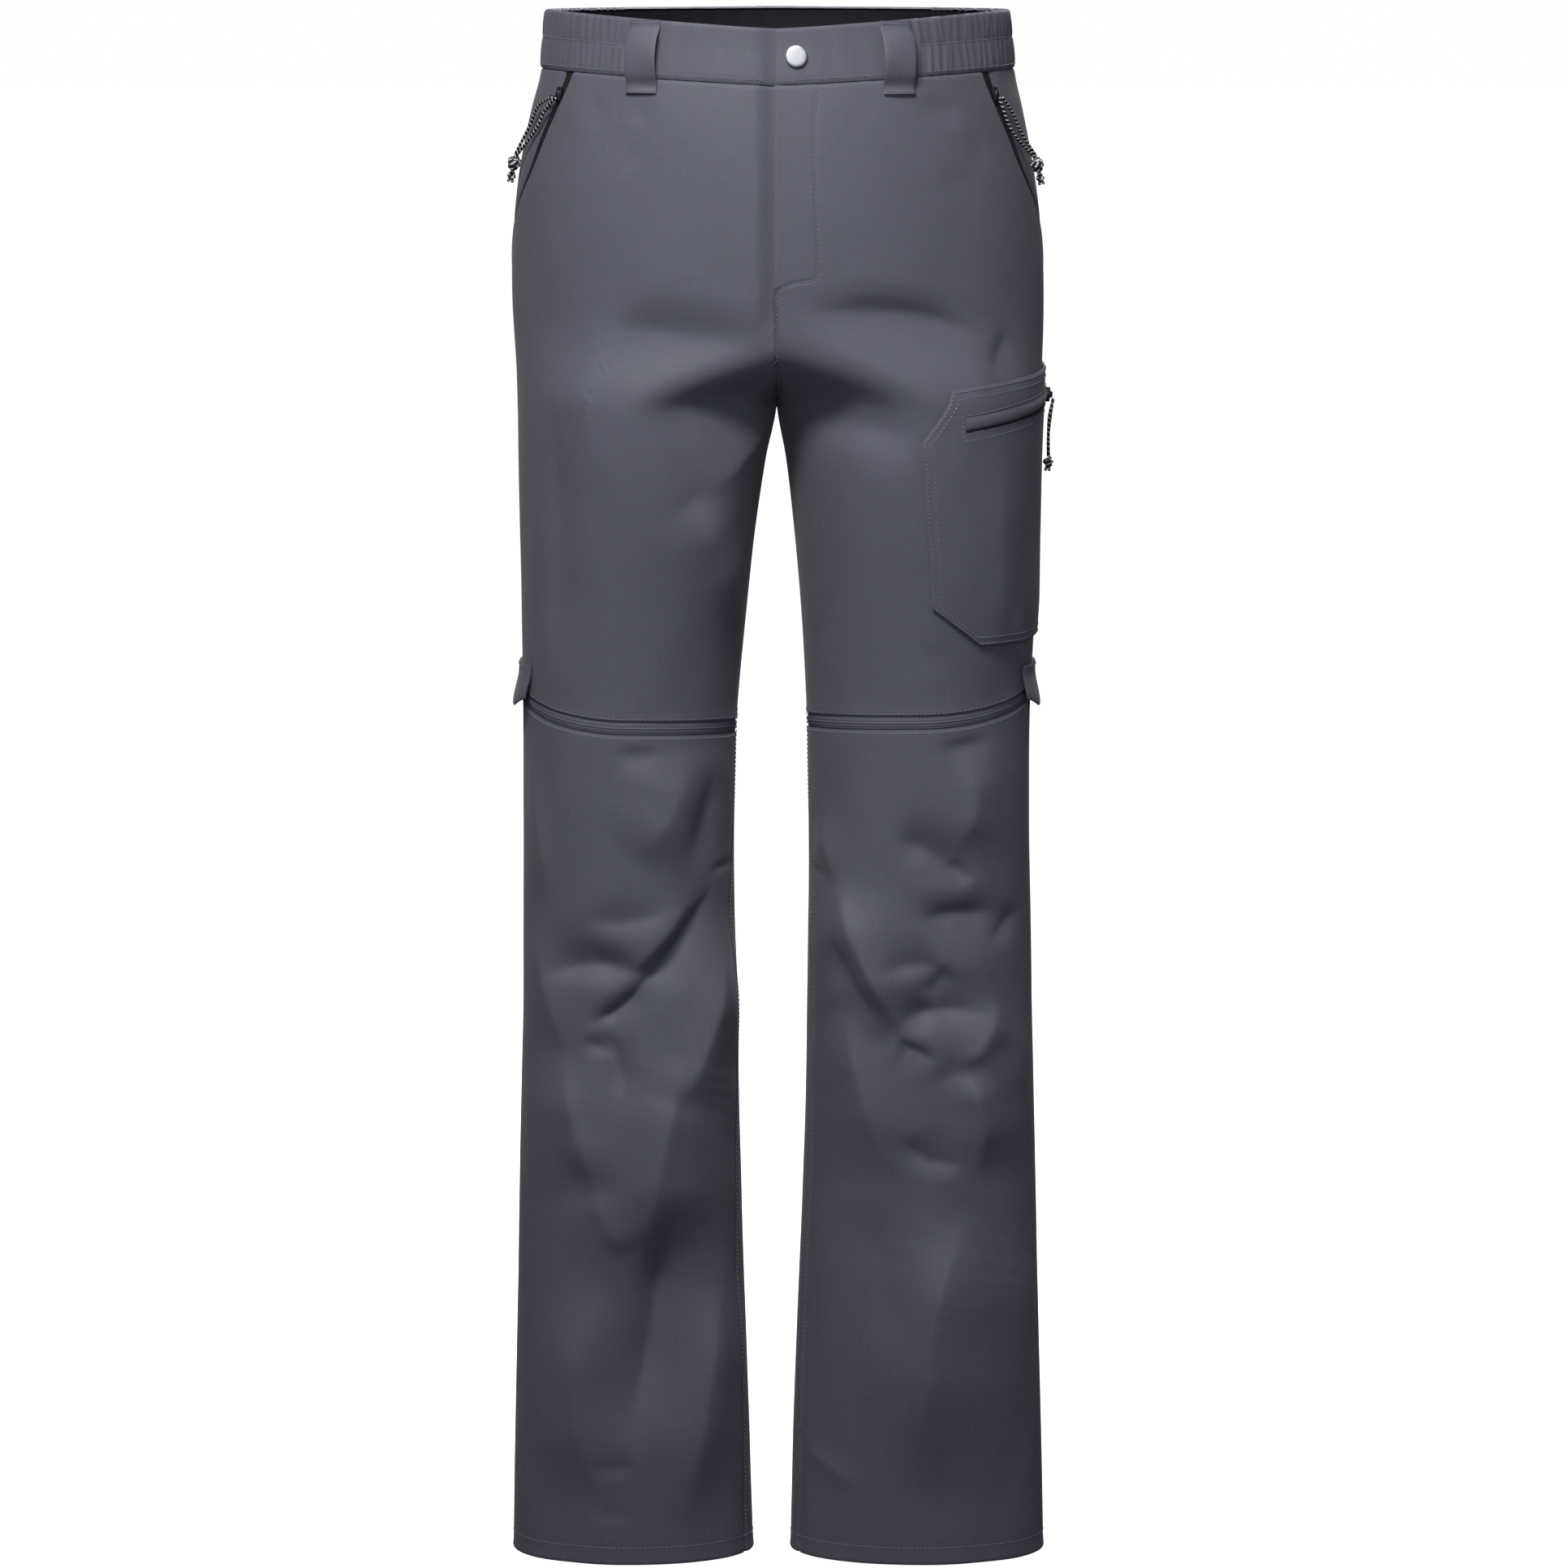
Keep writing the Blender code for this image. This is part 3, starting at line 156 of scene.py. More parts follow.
L, R = Leg.LEFT, Leg.RIGHT
CREASES = [
    # Wearer's right thigh, front: two folds across, the fold off the crotch, the outer one
    Crease(R, False, -126, -203, -72, -198, -6, -222, 14, 36, -5.6, 1.7),
    Crease(R, False, -104, -255, -48, -250, 0, -243, 14, 30, -4.6, 1.7),
    Crease(R, False, -2, -246, -27, -284, -58, -316, 32, 24, 7.0, 1.25),
    Crease(R, False, -57, -310, -44, -350, -27, -420, 26, 18, 8.5, 1.25),
    Crease(R, False, -150, -246, -151, -345, -150, -450, 30, 12, -3.8, 1.6),
    Crease(R, False, -113, -56, -101, -75, -93, -94, 10, 13, -0.9),
    Crease(R, False, -128, -36, -122, -48, -117, -62, 8, 8, -1.0),
    Crease(R, False, -96, -38, -92, -50, -82, -60, 9, 9, -0.8),
    # Wearer's left thigh, front
    Crease(L, False, 4, -188, 88, -185, 148, -207, 10, 34, -5.8, 1.5),
    Crease(L, False, 0, -256, 50, -260, 112, -270, 26, 18, -5.6, 1.8),
    Crease(L, False, 108, -107, 126, -97, 142, -101, 9, 12, -0.8),
    Crease(L, False, 134, -60, 138, -76, 143, -90, 8, 10, -0.8),
    Crease(L, False, 118, -38, 116, -50, 110, -64, 8, 9, -0.9),
    Crease(L, False, 104, -36, 104, -47, 100, -58, 7, 8, -0.7),
    Crease(L, False, 148, -231, 153, -214, 160, -196, 6, 12, -2.6, 1.5),
    Crease(L, False, 148, -258, 151, -350, 149, -448, 24, 18, 3.8, 1.5),
    Crease(L, False, 161, -386, 165, -410, 170, -437, 5, 7, 1.3),
    Crease(L, False, 110, -410, 107, -422, 103, -436, 9, 9, -0.6),
    # Wearer's right lower leg, front
    Crease(R, False, -112, -487, -95, -489, -76, -487, 6, 10, -2.4, 1.6),
    Crease(R, False, -168, -478, -166, -541, -156, -600, 8, 10, 2.6, 1.5),
    Crease(R, False, -170, -598, -161, -655, -146, -708, 12, 20, 3.6, 1.3),
    Crease(R, False, -149, -698, -138, -755, -126, -804, 14, 28, 8.4, 1.2),
    Crease(R, False, -130, -790, -119, -822, -101, -846, 12, 16, 3.4, 1.2),
    Crease(R, False, -64, -478, -74, -530, -102, -568, 28, 24, 7.0, 1.3),
    Crease(R, False, -44, -498, -51, -540, -64, -584, 16, 12, -3.6, 1.7),
    Crease(R, False, -138, -601, -105, -608, -62, -592, 14, 8, -3.4, 1.6),
    Crease(R, False, -168, -652, -128, -640, -78, -648, 16, 8, -7.5, 1.6),
    Crease(R, False, -56, -586, -84, -626, -116, -654, 8, 30, 4.0, 1.4),
    Crease(R, False, -42, -582, -72, -630, -101, -658, 11, 6, -8.0, 1.3),
    Crease(R, False, -88, -646, -108, -668, -136, -683, 9, 5, -6.5, 1.3),
    Crease(R, False, -34, -600, -54, -690, -73, -738, 34, 20, 14.0, 1.25),
    Crease(R, False, -66, -700, -82, -770, -96, -880, 38, 22, 15.0, 1.25),
    Crease(R, False, -127, -681, -111, -706, -104, -748, 8, 10, -3.4, 1.5),
    Crease(R, False, -137, -694, -126, -697, -116, -704, 6, 4, -2.4, 1.4),
    Crease(R, False, -72, -796, -85, -890, -107, -992, 26, 16, -11.5, 1.4),
    Crease(R, False, -37, -862, -52, -950, -66, -1050, 26, 16, 9.0, 1.3),
    Crease(R, False, -124, -866, -141, -950, -120, -1030, 16, 30, 7.8, 1.3),
    Crease(R, False, -134, -998, -115, -1001, -97, -998, 8, 5, -1.3, 1.5),
    Crease(R, False, -135, -1032, -118, -1034, -100, -1032, 8, 5, -1.1, 1.5),
    Crease(R, False, -48, -578, -39, -574, -29, -573, 3, 3, -1.3, 1.4),
    # Wearer's left lower leg, front
    Crease(L, False, 110, -486, 129, -483, 148, -482, 6, 10, -2.4, 1.6),
    Crease(L, False, 126, -480, 135, -526, 117, -566, 28, 14, 6.5, 1.25),
    Crease(L, False, 76, -552, 106, -560, 133, -592, 17, 10, -5.6, 1.5),
    Crease(L, False, 121, -564, 128, -573, 136, -584, 4, 6, -2.8, 1.4),
    Crease(L, False, 27, -538, 36, -562, 43, -586, 14, 10, 3.4, 1.4),
    Crease(L, False, 95, -612, 126, -603, 174, -609, 10, 18, -6.4, 1.4),
    Crease(L, False, 152, -630, 159, -615, 172, -603, 7, 8, -3.0, 1.5),
    Crease(L, False, 71, -644, 93, -639, 116, -641, 12, 6, -4.4, 1.5),
    Crease(L, False, 101, -663, 112, -651, 123, -638, 8, 12, -3.2, 1.5),
    Crease(L, False, 83, -680, 110, -672, 157, -675, 16, 8, -7.0, 1.4),
    Crease(L, False, 38, -566, 65, -634, 90, -694, 16, 34, 14.5, 1.25),
    Crease(L, False, 84, -681, 101, -700, 123, -713, 12, 10, 4.2, 1.3),
    Crease(L, False, 41, -614, 56, -650, 76, -684, 8, 14, -3.4, 1.5),
    Crease(L, False, 83, -693, 98, -699, 117, -712, 5, 9, -5.4, 1.3),
    Crease(L, False, 158, -664, 143, -693, 127, -718, 26, 10, 7.0, 1.25),
    Crease(L, False, 129, -712, 139, -744, 143, -800, 28, 10, 9.0, 1.25),
    Crease(L, False, 88, -756, 104, -777, 140, -780, 12, 6, -3.8, 1.4),
    Crease(L, False, 48, -668, 62, -726, 78, -800, 16, 28, 9.0, 1.3),
    Crease(L, False, 141, -812, 107, -905, 114, -1040, 40, 22, 15.0, 1.25),
    Crease(L, False, 56, -800, 74, -860, 84, -940, 18, 16, -3.2, 1.7),
    Crease(L, False, 16, -983, 38, -1003, 63, -1016, 7, 10, 1.5, 1.5),
    Crease(L, False, 20, -577, 28, -578, 36, -582, 3, 3, -1.2, 1.4),
    # Backs, hidden in the photo: the seat, the knee's hollow and the calf, of the same kinds
    Crease(R, True, -26, -296, -80, -290, -140, -306, 16, 34, -6.5, 1.7),
    Crease(R, True, -50, -334, -88, -328, -128, -342, 10, 18, -3.4, 1.7),
    Crease(R, True, -16, -204, -50, -218, -100, -216, 14, 26, -3.4, 1.8),
    Crease(R, True, -122, -344, -132, -392, -131, -438, 22, 12, -3.2, 1.6),
    Crease(R, True, -158, -524, -116, -512, -54, -523, 12, 6, -4.4, 1.5),
    Crease(R, True, -152, -566, -105, -553, -48, -569, 15, 8, -7.0, 1.4),
    Crease(R, True, -146, -600, -110, -611, -60, -598, 11, 7, -4.4, 1.4),
    Crease(R, True, -150, -648, -104, -628, -56, -640, 15, 8, -6.4, 1.5),
    Crease(R, True, -56, -640, -84, -690, -94, -756, 28, 14, 7.0, 1.3),
    Crease(R, True, -140, -668, -126, -720, -122, -794, 14, 28, 6.0, 1.3),
    Crease(R, True, -122, -800, -103, -880, -112, -996, 34, 18, 7.0, 1.4),
    Crease(R, True, -70, -840, -76, -900, -62, -984, 22, 14, -4.6, 1.6),
    Crease(L, True, 26, -298, 84, -291, 138, -308, 16, 34, -6.2, 1.7),
    Crease(L, True, 54, -340, 92, -330, 128, -338, 10, 18, -3.4, 1.7),
    Crease(L, True, 16, -210, 56, -220, 96, -212, 14, 26, -3.2, 1.8),
    Crease(L, True, 72, -346, 62, -392, 66, -440, 12, 22, -3.0, 1.6),
    Crease(L, True, 56, -516, 112, -509, 158, -529, 12, 6, -4.2, 1.5),
    Crease(L, True, 50, -562, 100, -553, 152, -575, 15, 8, -6.8, 1.4),
    Crease(L, True, 70, -607, 104, -595, 150, -603, 11, 7, -4.2, 1.4),
    Crease(L, True, 60, -642, 102, -621, 148, -647, 15, 8, -6.2, 1.5),
    Crease(L, True, 142, -646, 118, -694, 107, -754, 14, 28, 7.0, 1.3),
    Crease(L, True, 66, -664, 78, -716, 80, -790, 28, 14, 6.0, 1.3),
    Crease(L, True, 94, -792, 108, -880, 96, -1004, 34, 18, 7.0, 1.4),
    Crease(L, True, 146, -836, 138, -900, 150, -980, 22, 14, -4.6, 1.6),
]


def smooth_step(x: np.ndarray | float, start: float, end: float) -> np.ndarray:
    """Rise from 0 at start to 1 at end with level ends."""
    t = np.clip((np.asarray(x, float) - start) / (end - start), 0.0, 1.0)
    return t * t * (3.0 - 2.0 * t)


def bump(x: np.ndarray | float, width: float) -> np.ndarray:
    """A rounded bump, 1 at 0 and falling off over the width."""
    return np.exp(-((np.asarray(x, float) / width) ** 2))


def read_table(rows: Sequence, key: str, value: str, x: np.ndarray | float) -> np.ndarray:
    """Read one column of a table of named rows as a smooth curve of another column.

    Args:
        rows: The table.
        key: The column that x is measured in.
        value: The column that is read.
        x: Where to read it.

    Returns:
        The smooth curve's values, held level past the table's ends.
    """
    pairs = sorted((getattr(row, key), getattr(row, value)) for row in rows)
    keys = np.array([pair[0] for pair in pairs], float)
    values = np.array([pair[1] for pair in pairs], float)
    slopes = np.gradient(values, keys)
    x = np.clip(np.asarray(x, float), keys[0], keys[-1])
    index = np.clip(np.searchsorted(keys, x) - 1, 0, len(keys) - 2)
    span = keys[index + 1] - keys[index]
    t = (x - keys[index]) / span
    return (
        values[index] * (1 + 2 * t) * (1 - t) ** 2
        + slopes[index] * span * t * (1 - t) ** 2
        + values[index + 1] * t * t * (3 - 2 * t)
        + slopes[index + 1] * span * t * t * (t - 1)
    )


@dataclass(frozen=True)
class TrouserForm:
    """The nominal surface of both legs, with the same sizes as the part's solids.

    Only centre_gap differs. It is below zero here, so that the edges of the two legs' panels
    cross by a hair in the bottom of their seam and no light comes through it.
    """

    crotch_z: float = -0.254
    hem_z: float = -1.0705
    crotch_blend_height: float = 0.036
    centre_gap: float = -0.0004
    waist_top_front: float = 0.0064
    waist_top_side: float = 0.0190
    waist_seam_front: float = -0.0310
    waist_seam_side: float = -0.0210
    waist_back_rise: float = 0.0015
    side_seam: float = 95.0
    inseam: float = -90.0
    inseam_drift: float = 20.0
    drift_top: float = -0.480
    drift_bottom: float = -0.640
    knee_front_left: float = -0.4630
    knee_front_right: float = -0.4670
    knee_inner_drop: float = 0.0068
    knee_outer_rise: float = 0.0210
    knee_open: float = 0.0095
    fly_shift: float = -0.0011
    fly_bottom: float = -0.150
    fly_underlap: float = 0.018
    fly_recess_depth: float = 0.0046
    fly_step_inner: float = 0.0008
    fly_step_outer: float = 0.0150
    pocket_zip_degrees: float = 3.4
    pocket_zip_end_degrees: float = 0.7
    tolerance: float = 1e-5

    def size(self, column: str, z: np.ndarray) -> np.ndarray:
        """A column of SECTIONS at height z, in metres."""
        return read_table(SECTIONS, "z", column, np.asarray(z) / MM) * MM

    def blend(self, z: np.ndarray) -> np.ndarray:
        """How far the two legs have parted: 1 at the crotch, 0 high above it."""
        height = np.maximum(np.asarray(z, float) - self.crotch_z, 0.0)
        return np.exp(-((height / self.crotch_blend_height) ** 2))

    def section(self, side: np.ndarray, z: np.ndarray) -> tuple[np.ndarray, np.ndarray]:
        """Centre distance and half-width of a leg's ellipse, for side +1 or -1."""
        left = np.asarray(side) > 0
        outer = np.where(left, self.size("left_outer", z), self.size("right_outer", z))
        inner = np.where(left, self.size("left_inner", z), self.size("right_inner", z))
        blend = self.blend(z)
        joined_half = (outer - self.centre_gap) / (1 + blend)
        joined_centre = self.centre_gap + joined_half * blend
        above = np.asarray(z) >= self.crotch_z
        half = np.where(above, joined_half, (outer - inner) / 2)
        centre = np.where(above, joined_centre, (outer + inner) / 2)
        return centre, half

    def centre_angle(self, z: np.ndarray) -> np.ndarray:
        """Angle of the centre front line, and of the inner side below the crotch."""
        return -np.degrees(np.arcsin(np.clip(self.blend(z), 0.0, 1.0)))

    def mirrored(
        self, side: np.ndarray, theta: np.ndarray, z: np.ndarray
    ) -> tuple[np.ndarray, np.ndarray]:
        """Move points that lie past the centre line to the other leg's half."""
        front_edge = self.centre_angle(z)
        back_edge = 180.0 - front_edge
        above = np.asarray(z) >= self.crotch_z
        past_front = above & (theta < front_edge - self.tolerance)
        past_back = above & (theta > back_edge + self.tolerance)
        angle = np.where(past_front, 2 * front_edge - theta, theta)
        angle = np.where(past_back, 2 * back_edge - theta, angle)
        return np.where(past_front | past_back, -side, side), angle

    def point(self, side: np.ndarray, theta: np.ndarray, z: np.ndarray) -> np.ndarray:
        """Point of the nominal surface, with no folds."""
        side, theta = self.mirrored(side, theta, z)
        centre, half = self.section(side, z)
        angle = np.radians(theta)
        depth = np.where(np.cos(angle) > 0, self.size("front", z), self.size("back", z))
        x = side * (centre + half * np.sin(angle))
        return np.stack([x, -depth * np.cos(angle), z + 0.0 * x], axis=-1)

    def normal(self, side: int, theta: np.ndarray, z: np.ndarray) -> np.ndarray:
        """Outward unit normal of the nominal surface."""
        turn, rise = 0.4, 0.001
        across = self.point(side, theta + turn, z) - self.point(side, theta - turn, z)
        up = self.point(side, theta, z + rise) - self.point(side, theta, z - rise)
        normal = np.cross(across, up) * side
        return normal / np.linalg.norm(normal, axis=-1, keepdims=True)

    def angle_at(self, side: int, x: np.ndarray | float, z: np.ndarray | float) -> np.ndarray:
        """Front angle at which a leg's surface has the given x."""
        z = np.asarray(z, float)
        other = np.sign(x) * side < 0
        owner = np.where(other, -side, side)
        centre, half = self.section(owner, z)
        angle = np.degrees(np.arcsin(np.clip((np.abs(x) - centre) / half, -1.0, 1.0)))
        return np.where(other, 2 * self.centre_angle(z) - angle, angle)

    def radius(self, side: np.ndarray, z: np.ndarray) -> np.ndarray:
        """Mean radius of a leg, for lengths measured round it."""
        return 0.5 * (self.section(side, z)[1] + self.size("front", z))

    def knee_line(self, side: np.ndarray, theta: np.ndarray) -> np.ndarray:
        """Lower edge of the upper leg: lowest at the inner side, rising at the outer one."""
        turn = (np.asarray(theta, float) + 180.0) % 360.0 - 180.0
        outward = np.sign(turn) * np.minimum(np.abs(turn), 180.0 - np.abs(turn)) / 90.0
        outer = self.knee_outer_rise * np.clip(outward, 0, 1) ** 1.8
        inner = self.knee_inner_drop * np.clip(-outward, 0, 1) ** 1.5
        front = np.where(np.asarray(side) > 0, self.knee_front_left, self.knee_front_right)
        return front + outer - inner

    def waist_edge(self, theta: np.ndarray, front: float, at_side: float) -> np.ndarray:
        """Height of an edge of the waistband, from its heights at the front and the side."""
        angle = np.asarray(theta, float)
        wave = np.sin(np.radians(np.clip(angle, 0.0, 90.0))) ** 1.2
        folded = np.where(angle > 180, 360 - angle, angle)
        rise = self.waist_back_rise * np.clip((folded - 90) / 90, 0, 1)
        return front + (at_side - front) * wave + rise

    def waist_top(self, theta: np.ndarray) -> np.ndarray:
        """Height of the waistband's top edge."""
        return self.waist_edge(theta, self.waist_top_front, self.waist_top_side)

    def waist_seam(self, theta: np.ndarray) -> np.ndarray:
        """Height of the seam between the waistband and the legs."""
        return self.waist_edge(theta, self.waist_seam_front, self.waist_seam_side)

    def inner_edge(self, z: np.ndarray) -> np.ndarray:
        """Angle of the inner leg seam, which drifts forward below the knee."""
        drift = smooth_step(-np.asarray(z, float), -self.drift_top, -self.drift_bottom)
        return self.inseam + self.inseam_drift * drift

    def front_start(self, side: int, z: np.ndarray) -> np.ndarray:
        """Inner edge of an upper front: the fly, the centre seam, then the inner side."""
        shift = self.fly_shift * smooth_step(z, self.fly_bottom - 0.040, self.fly_bottom - 0.010)
        edge_x = shift + side * self.centre_gap
        if side == Leg.RIGHT.value:
            under = smooth_step(z, self.fly_bottom - 0.028, self.fly_bottom)
            edge_x = edge_x + (self.fly_underlap - edge_x) * under
        above = self.angle_at(side, edge_x, z)
        return np.where(
            np.asarray(z) >= self.crotch_z, np.maximum(above, -89.8), self.inner_edge(z)
        )

    def back_end(self, z: np.ndarray) -> np.ndarray:
        """Inner edge of a back: the seat seam, then the inner side."""
        above = np.minimum(180.0 - self.centre_angle(z), 269.8)
        return np.where(np.asarray(z) >= self.crotch_z, above, 360.0 + self.inner_edge(z))

    def pocket_edge(self, z: np.ndarray) -> np.ndarray:
        """Angle of the front's edge along the hand pocket and the side seam below it."""
        edge = read_table(POCKET_EDGE, "z", "angle", np.asarray(z) / MM)
        return np.where(np.asarray(z) < POCKET_EDGE[-1].z * MM, self.side_seam, edge)

    def pocket_zip_edge(self, z: np.ndarray) -> np.ndarray:
        """Angle of the outer edge of the hand pocket's zip tape."""
        taper = smooth_step(z, -0.152, -0.125)
        spread = self.pocket_zip_degrees - self.pocket_zip_end_degrees
        return self.pocket_edge(z) + self.pocket_zip_end_degrees + spread * taper

    def fly_recess(self, side: int, theta: np.ndarray, z: np.ndarray) -> np.ndarray:
        """How far the right front dips so that the left one lies over it."""
        if side == Leg.LEFT.value:
            return 0.0 * (theta + z)
        x = self.point(side, theta, z)[..., 0]
        across = smooth_step(x, -self.fly_step_outer, -self.fly_step_inner)
        return self.fly_recess_depth * across * smooth_step(z, -0.215, -0.180)


FORM = TrouserForm()


@dataclass(frozen=True)
class ClothRelief:
    """Creases and small waves of the cloth, which fade at seams and zips."""

    steps: int = 12
    strength: float = 1.25
    waves: int = 18
    wave_height: float = 0.00010
    side_share: float = 0.35
    seed: int = 7
    knee_start: float = 0.006
    knee_end: float = 0.024
    waist_start: float = 0.002
    waist_end: float = 0.020

    def route(self, crease: Crease) -> tuple[np.ndarray, np.ndarray]:
        """Angles and heights along a crease's middle line."""
        t = np.linspace(0.0, 1.0, self.steps + 1)
        first, middle, last = (1 - t) * (1 - 2 * t), 4 * t * (1 - t), t * (2 * t - 1)
        x = (first * crease.x0 + middle * crease.x1 + last * crease.x2) * MM
        z = (first * crease.z0 + middle * crease.z1 + last * crease.z2) * MM
        angle = FORM.angle_at(crease.leg.value, x, z)
        return (180.0 - angle if crease.back else angle), z

    def one_crease(
        self, crease: Crease, theta: np.ndarray, z: np.ndarray, radius: np.ndarray
    ) -> np.ndarray:
        """Height of one crease at flat lists of angles, heights and leg radii."""
        angle, height = self.route(crease)
        facing = crease.leg.value * (-1 if crease.back else 1)
        middle = angle[self.steps // 2]
        turn = (theta - middle + 180.0) % 360.0 - 180.0
        u = facing * np.radians(turn[:, None] + middle - angle[None, :]) * radius[:, None]
        v = z[:, None] - height[None, :]
        step_u, step_v = u[:, :-1] - u[:, 1:], v[:, :-1] - v[:, 1:]
        length_2 = step_u**2 + step_v**2
        t = np.clip((u[:, :-1] * step_u + v[:, :-1] * step_v) / length_2, 0.0, 1.0)
        off_u, off_v = u[:, :-1] - t * step_u, v[:, :-1] - t * step_v
        distance_2 = off_u**2 + off_v**2
        nearest = distance_2.argmin(axis=1)
        rows = np.arange(len(theta))
        distance = np.sqrt(distance_2[rows, nearest])
        cross = step_u * off_v - step_v * off_u
        width = np.where(cross[rows, nearest] > 0, crease.left, crease.right) * MM
        along = (nearest + t[rows, nearest]) / self.steps
        taper = smooth_step(along, 0.0, 0.40) * smooth_step(1.0 - along, 0.0, 0.40)
        share = distance / width
        profile = np.exp(-(share**crease.sharpness)) * (1 - smooth_step(share, 1.4, 2.8))
        return self.strength * crease.height * MM * taper * profile

    def small_waves(self, theta: np.ndarray, z: np.ndarray) -> np.ndarray:
        """Low uneven waves, a whole number of them round the leg."""
        draw = np.random.default_rng(self.seed)
        total = np.zeros(theta.shape)
        for _ in range(self.waves):
            round_leg = draw.integers(3, 15)
            upward = 2 * np.pi / draw.uniform(0.060, 0.260) * draw.choice([-1.0, 1.0])
            phase = draw.uniform(0, 2 * np.pi)
            size = draw.uniform(0.3, 1.0)
            total += size * np.sin(np.radians(theta) * round_leg + z * upward + phase)
        return self.wave_height * total

    def height(self, side: int, theta: np.ndarray, z: np.ndarray) -> np.ndarray:
        """Height of all the folds, fading to nothing at the waist, the knee and the crotch."""
        owner, angle = FORM.mirrored(side, theta, z)
        owner = owner + 0.0 * angle
        radius = FORM.radius(owner, z)
        total = self.small_waves(angle, z)
        for crease in CREASES:
            reach = 3.0 * max(crease.left, crease.right) * MM
            heights = [crease.z0 * MM, crease.z1 * MM, crease.z2 * MM]
            near = (owner == crease.leg.value) & (z < max(heights) + reach)
            near &= z > min(heights) - reach
            if near.any():
                total[near] += self.one_crease(crease, angle[near], z[near], radius[near])
        knee = FORM.knee_line(owner, angle) - 0.5 * FORM.knee_open
        fade = smooth_step(np.abs(z - knee), self.knee_start, self.knee_end)
        fade = fade * smooth_step(FORM.waist_seam(angle) - z, self.waist_start, self.waist_end)
        from_crotch = np.abs(z - FORM.crotch_z) + np.abs(angle - FORM.inseam) * MM
        facing = smooth_step(np.abs(np.cos(np.radians(angle))), 0.0, 0.40)
        facing = self.side_share + (1 - self.side_share) * facing
        return total * fade * facing * smooth_step(from_crotch, 0.0, 0.030)


RELIEF = ClothRelief()


def surface(
    leg: Leg, theta: np.ndarray | float, z: np.ndarray | float, out: np.ndarray | float = 0.0
) -> np.ndarray:
    """Point of the cloth's outer face, moved out by a distance along the normal.

    Near the crotch no point crosses the centre plane into the other leg's half.

    Args:
        leg: The leg that the angles are measured round.
        theta: Angles in degrees.
        z: Heights in metres.
        out: Distances out in metres.

    Returns:
        Points, with their three numbers along the last axis.
    """
    side = leg.value
    theta, z = np.broadcast_arrays(np.asarray(theta, float), np.asarray(z, float))
    shape = theta.shape
    theta, z = np.atleast_1d(theta), np.atleast_1d(z)
    lift = RELIEF.height(side, theta, z) + out
    base = FORM.point(side, theta, z)
    points = base + FORM.normal(side, theta, z) * lift[..., None]
    own_half = (base[..., 0] * side > 0) & (z > FORM.crotch_z - 0.03)
    held = side * np.maximum(points[..., 0] * side, FORM.centre_gap)
    points[..., 0] = np.where(own_half, held, points[..., 0])
    return points.reshape(*shape, 3)


def srgb(hex_colour: str, alpha: float = 1.0) -> tuple[float, float, float, float]:
    """Linear RGBA of a web colour."""
    channels = [int(hex_colour[i:i + 2], 16) / 255 for i in (1, 3, 5)]
    linear = [c / 12.92 if c <= 0.04045 else ((c + 0.055) / 1.055) ** 2.4 for c in channels]
    return (*linear, alpha)


def add_node(
    tree: bpy.types.NodeTree, kind: str, links: dict | None = None, **settings: object
) -> bpy.types.Node:
    """Add a node with its settings and its inputs.

    Args:
        tree: The node tree.
        kind: The node's type name.
        links: Input names or numbers, each with a value or with a socket to link from.
        settings: The node's own properties.

    Returns:
        The new node.
    """
    node = tree.nodes.new(kind)
    for name, value in settings.items():
        setattr(node, name, value)
    for name, value in (links or {}).items():
        if isinstance(value, bpy.types.NodeSocket):
            tree.links.new(value, node.inputs[name])
        else:
            node.inputs[name].default_value = value
    return node


def start_material(name: str) -> tuple[bpy.types.Material, bpy.types.NodeTree, bpy.types.Node]:
    """A new material with its tree and its Principled shader."""
    material = bpy.data.materials.new(name)
    material.use_nodes = True
    return material, material.node_tree, material.node_tree.nodes["Principled BSDF"]


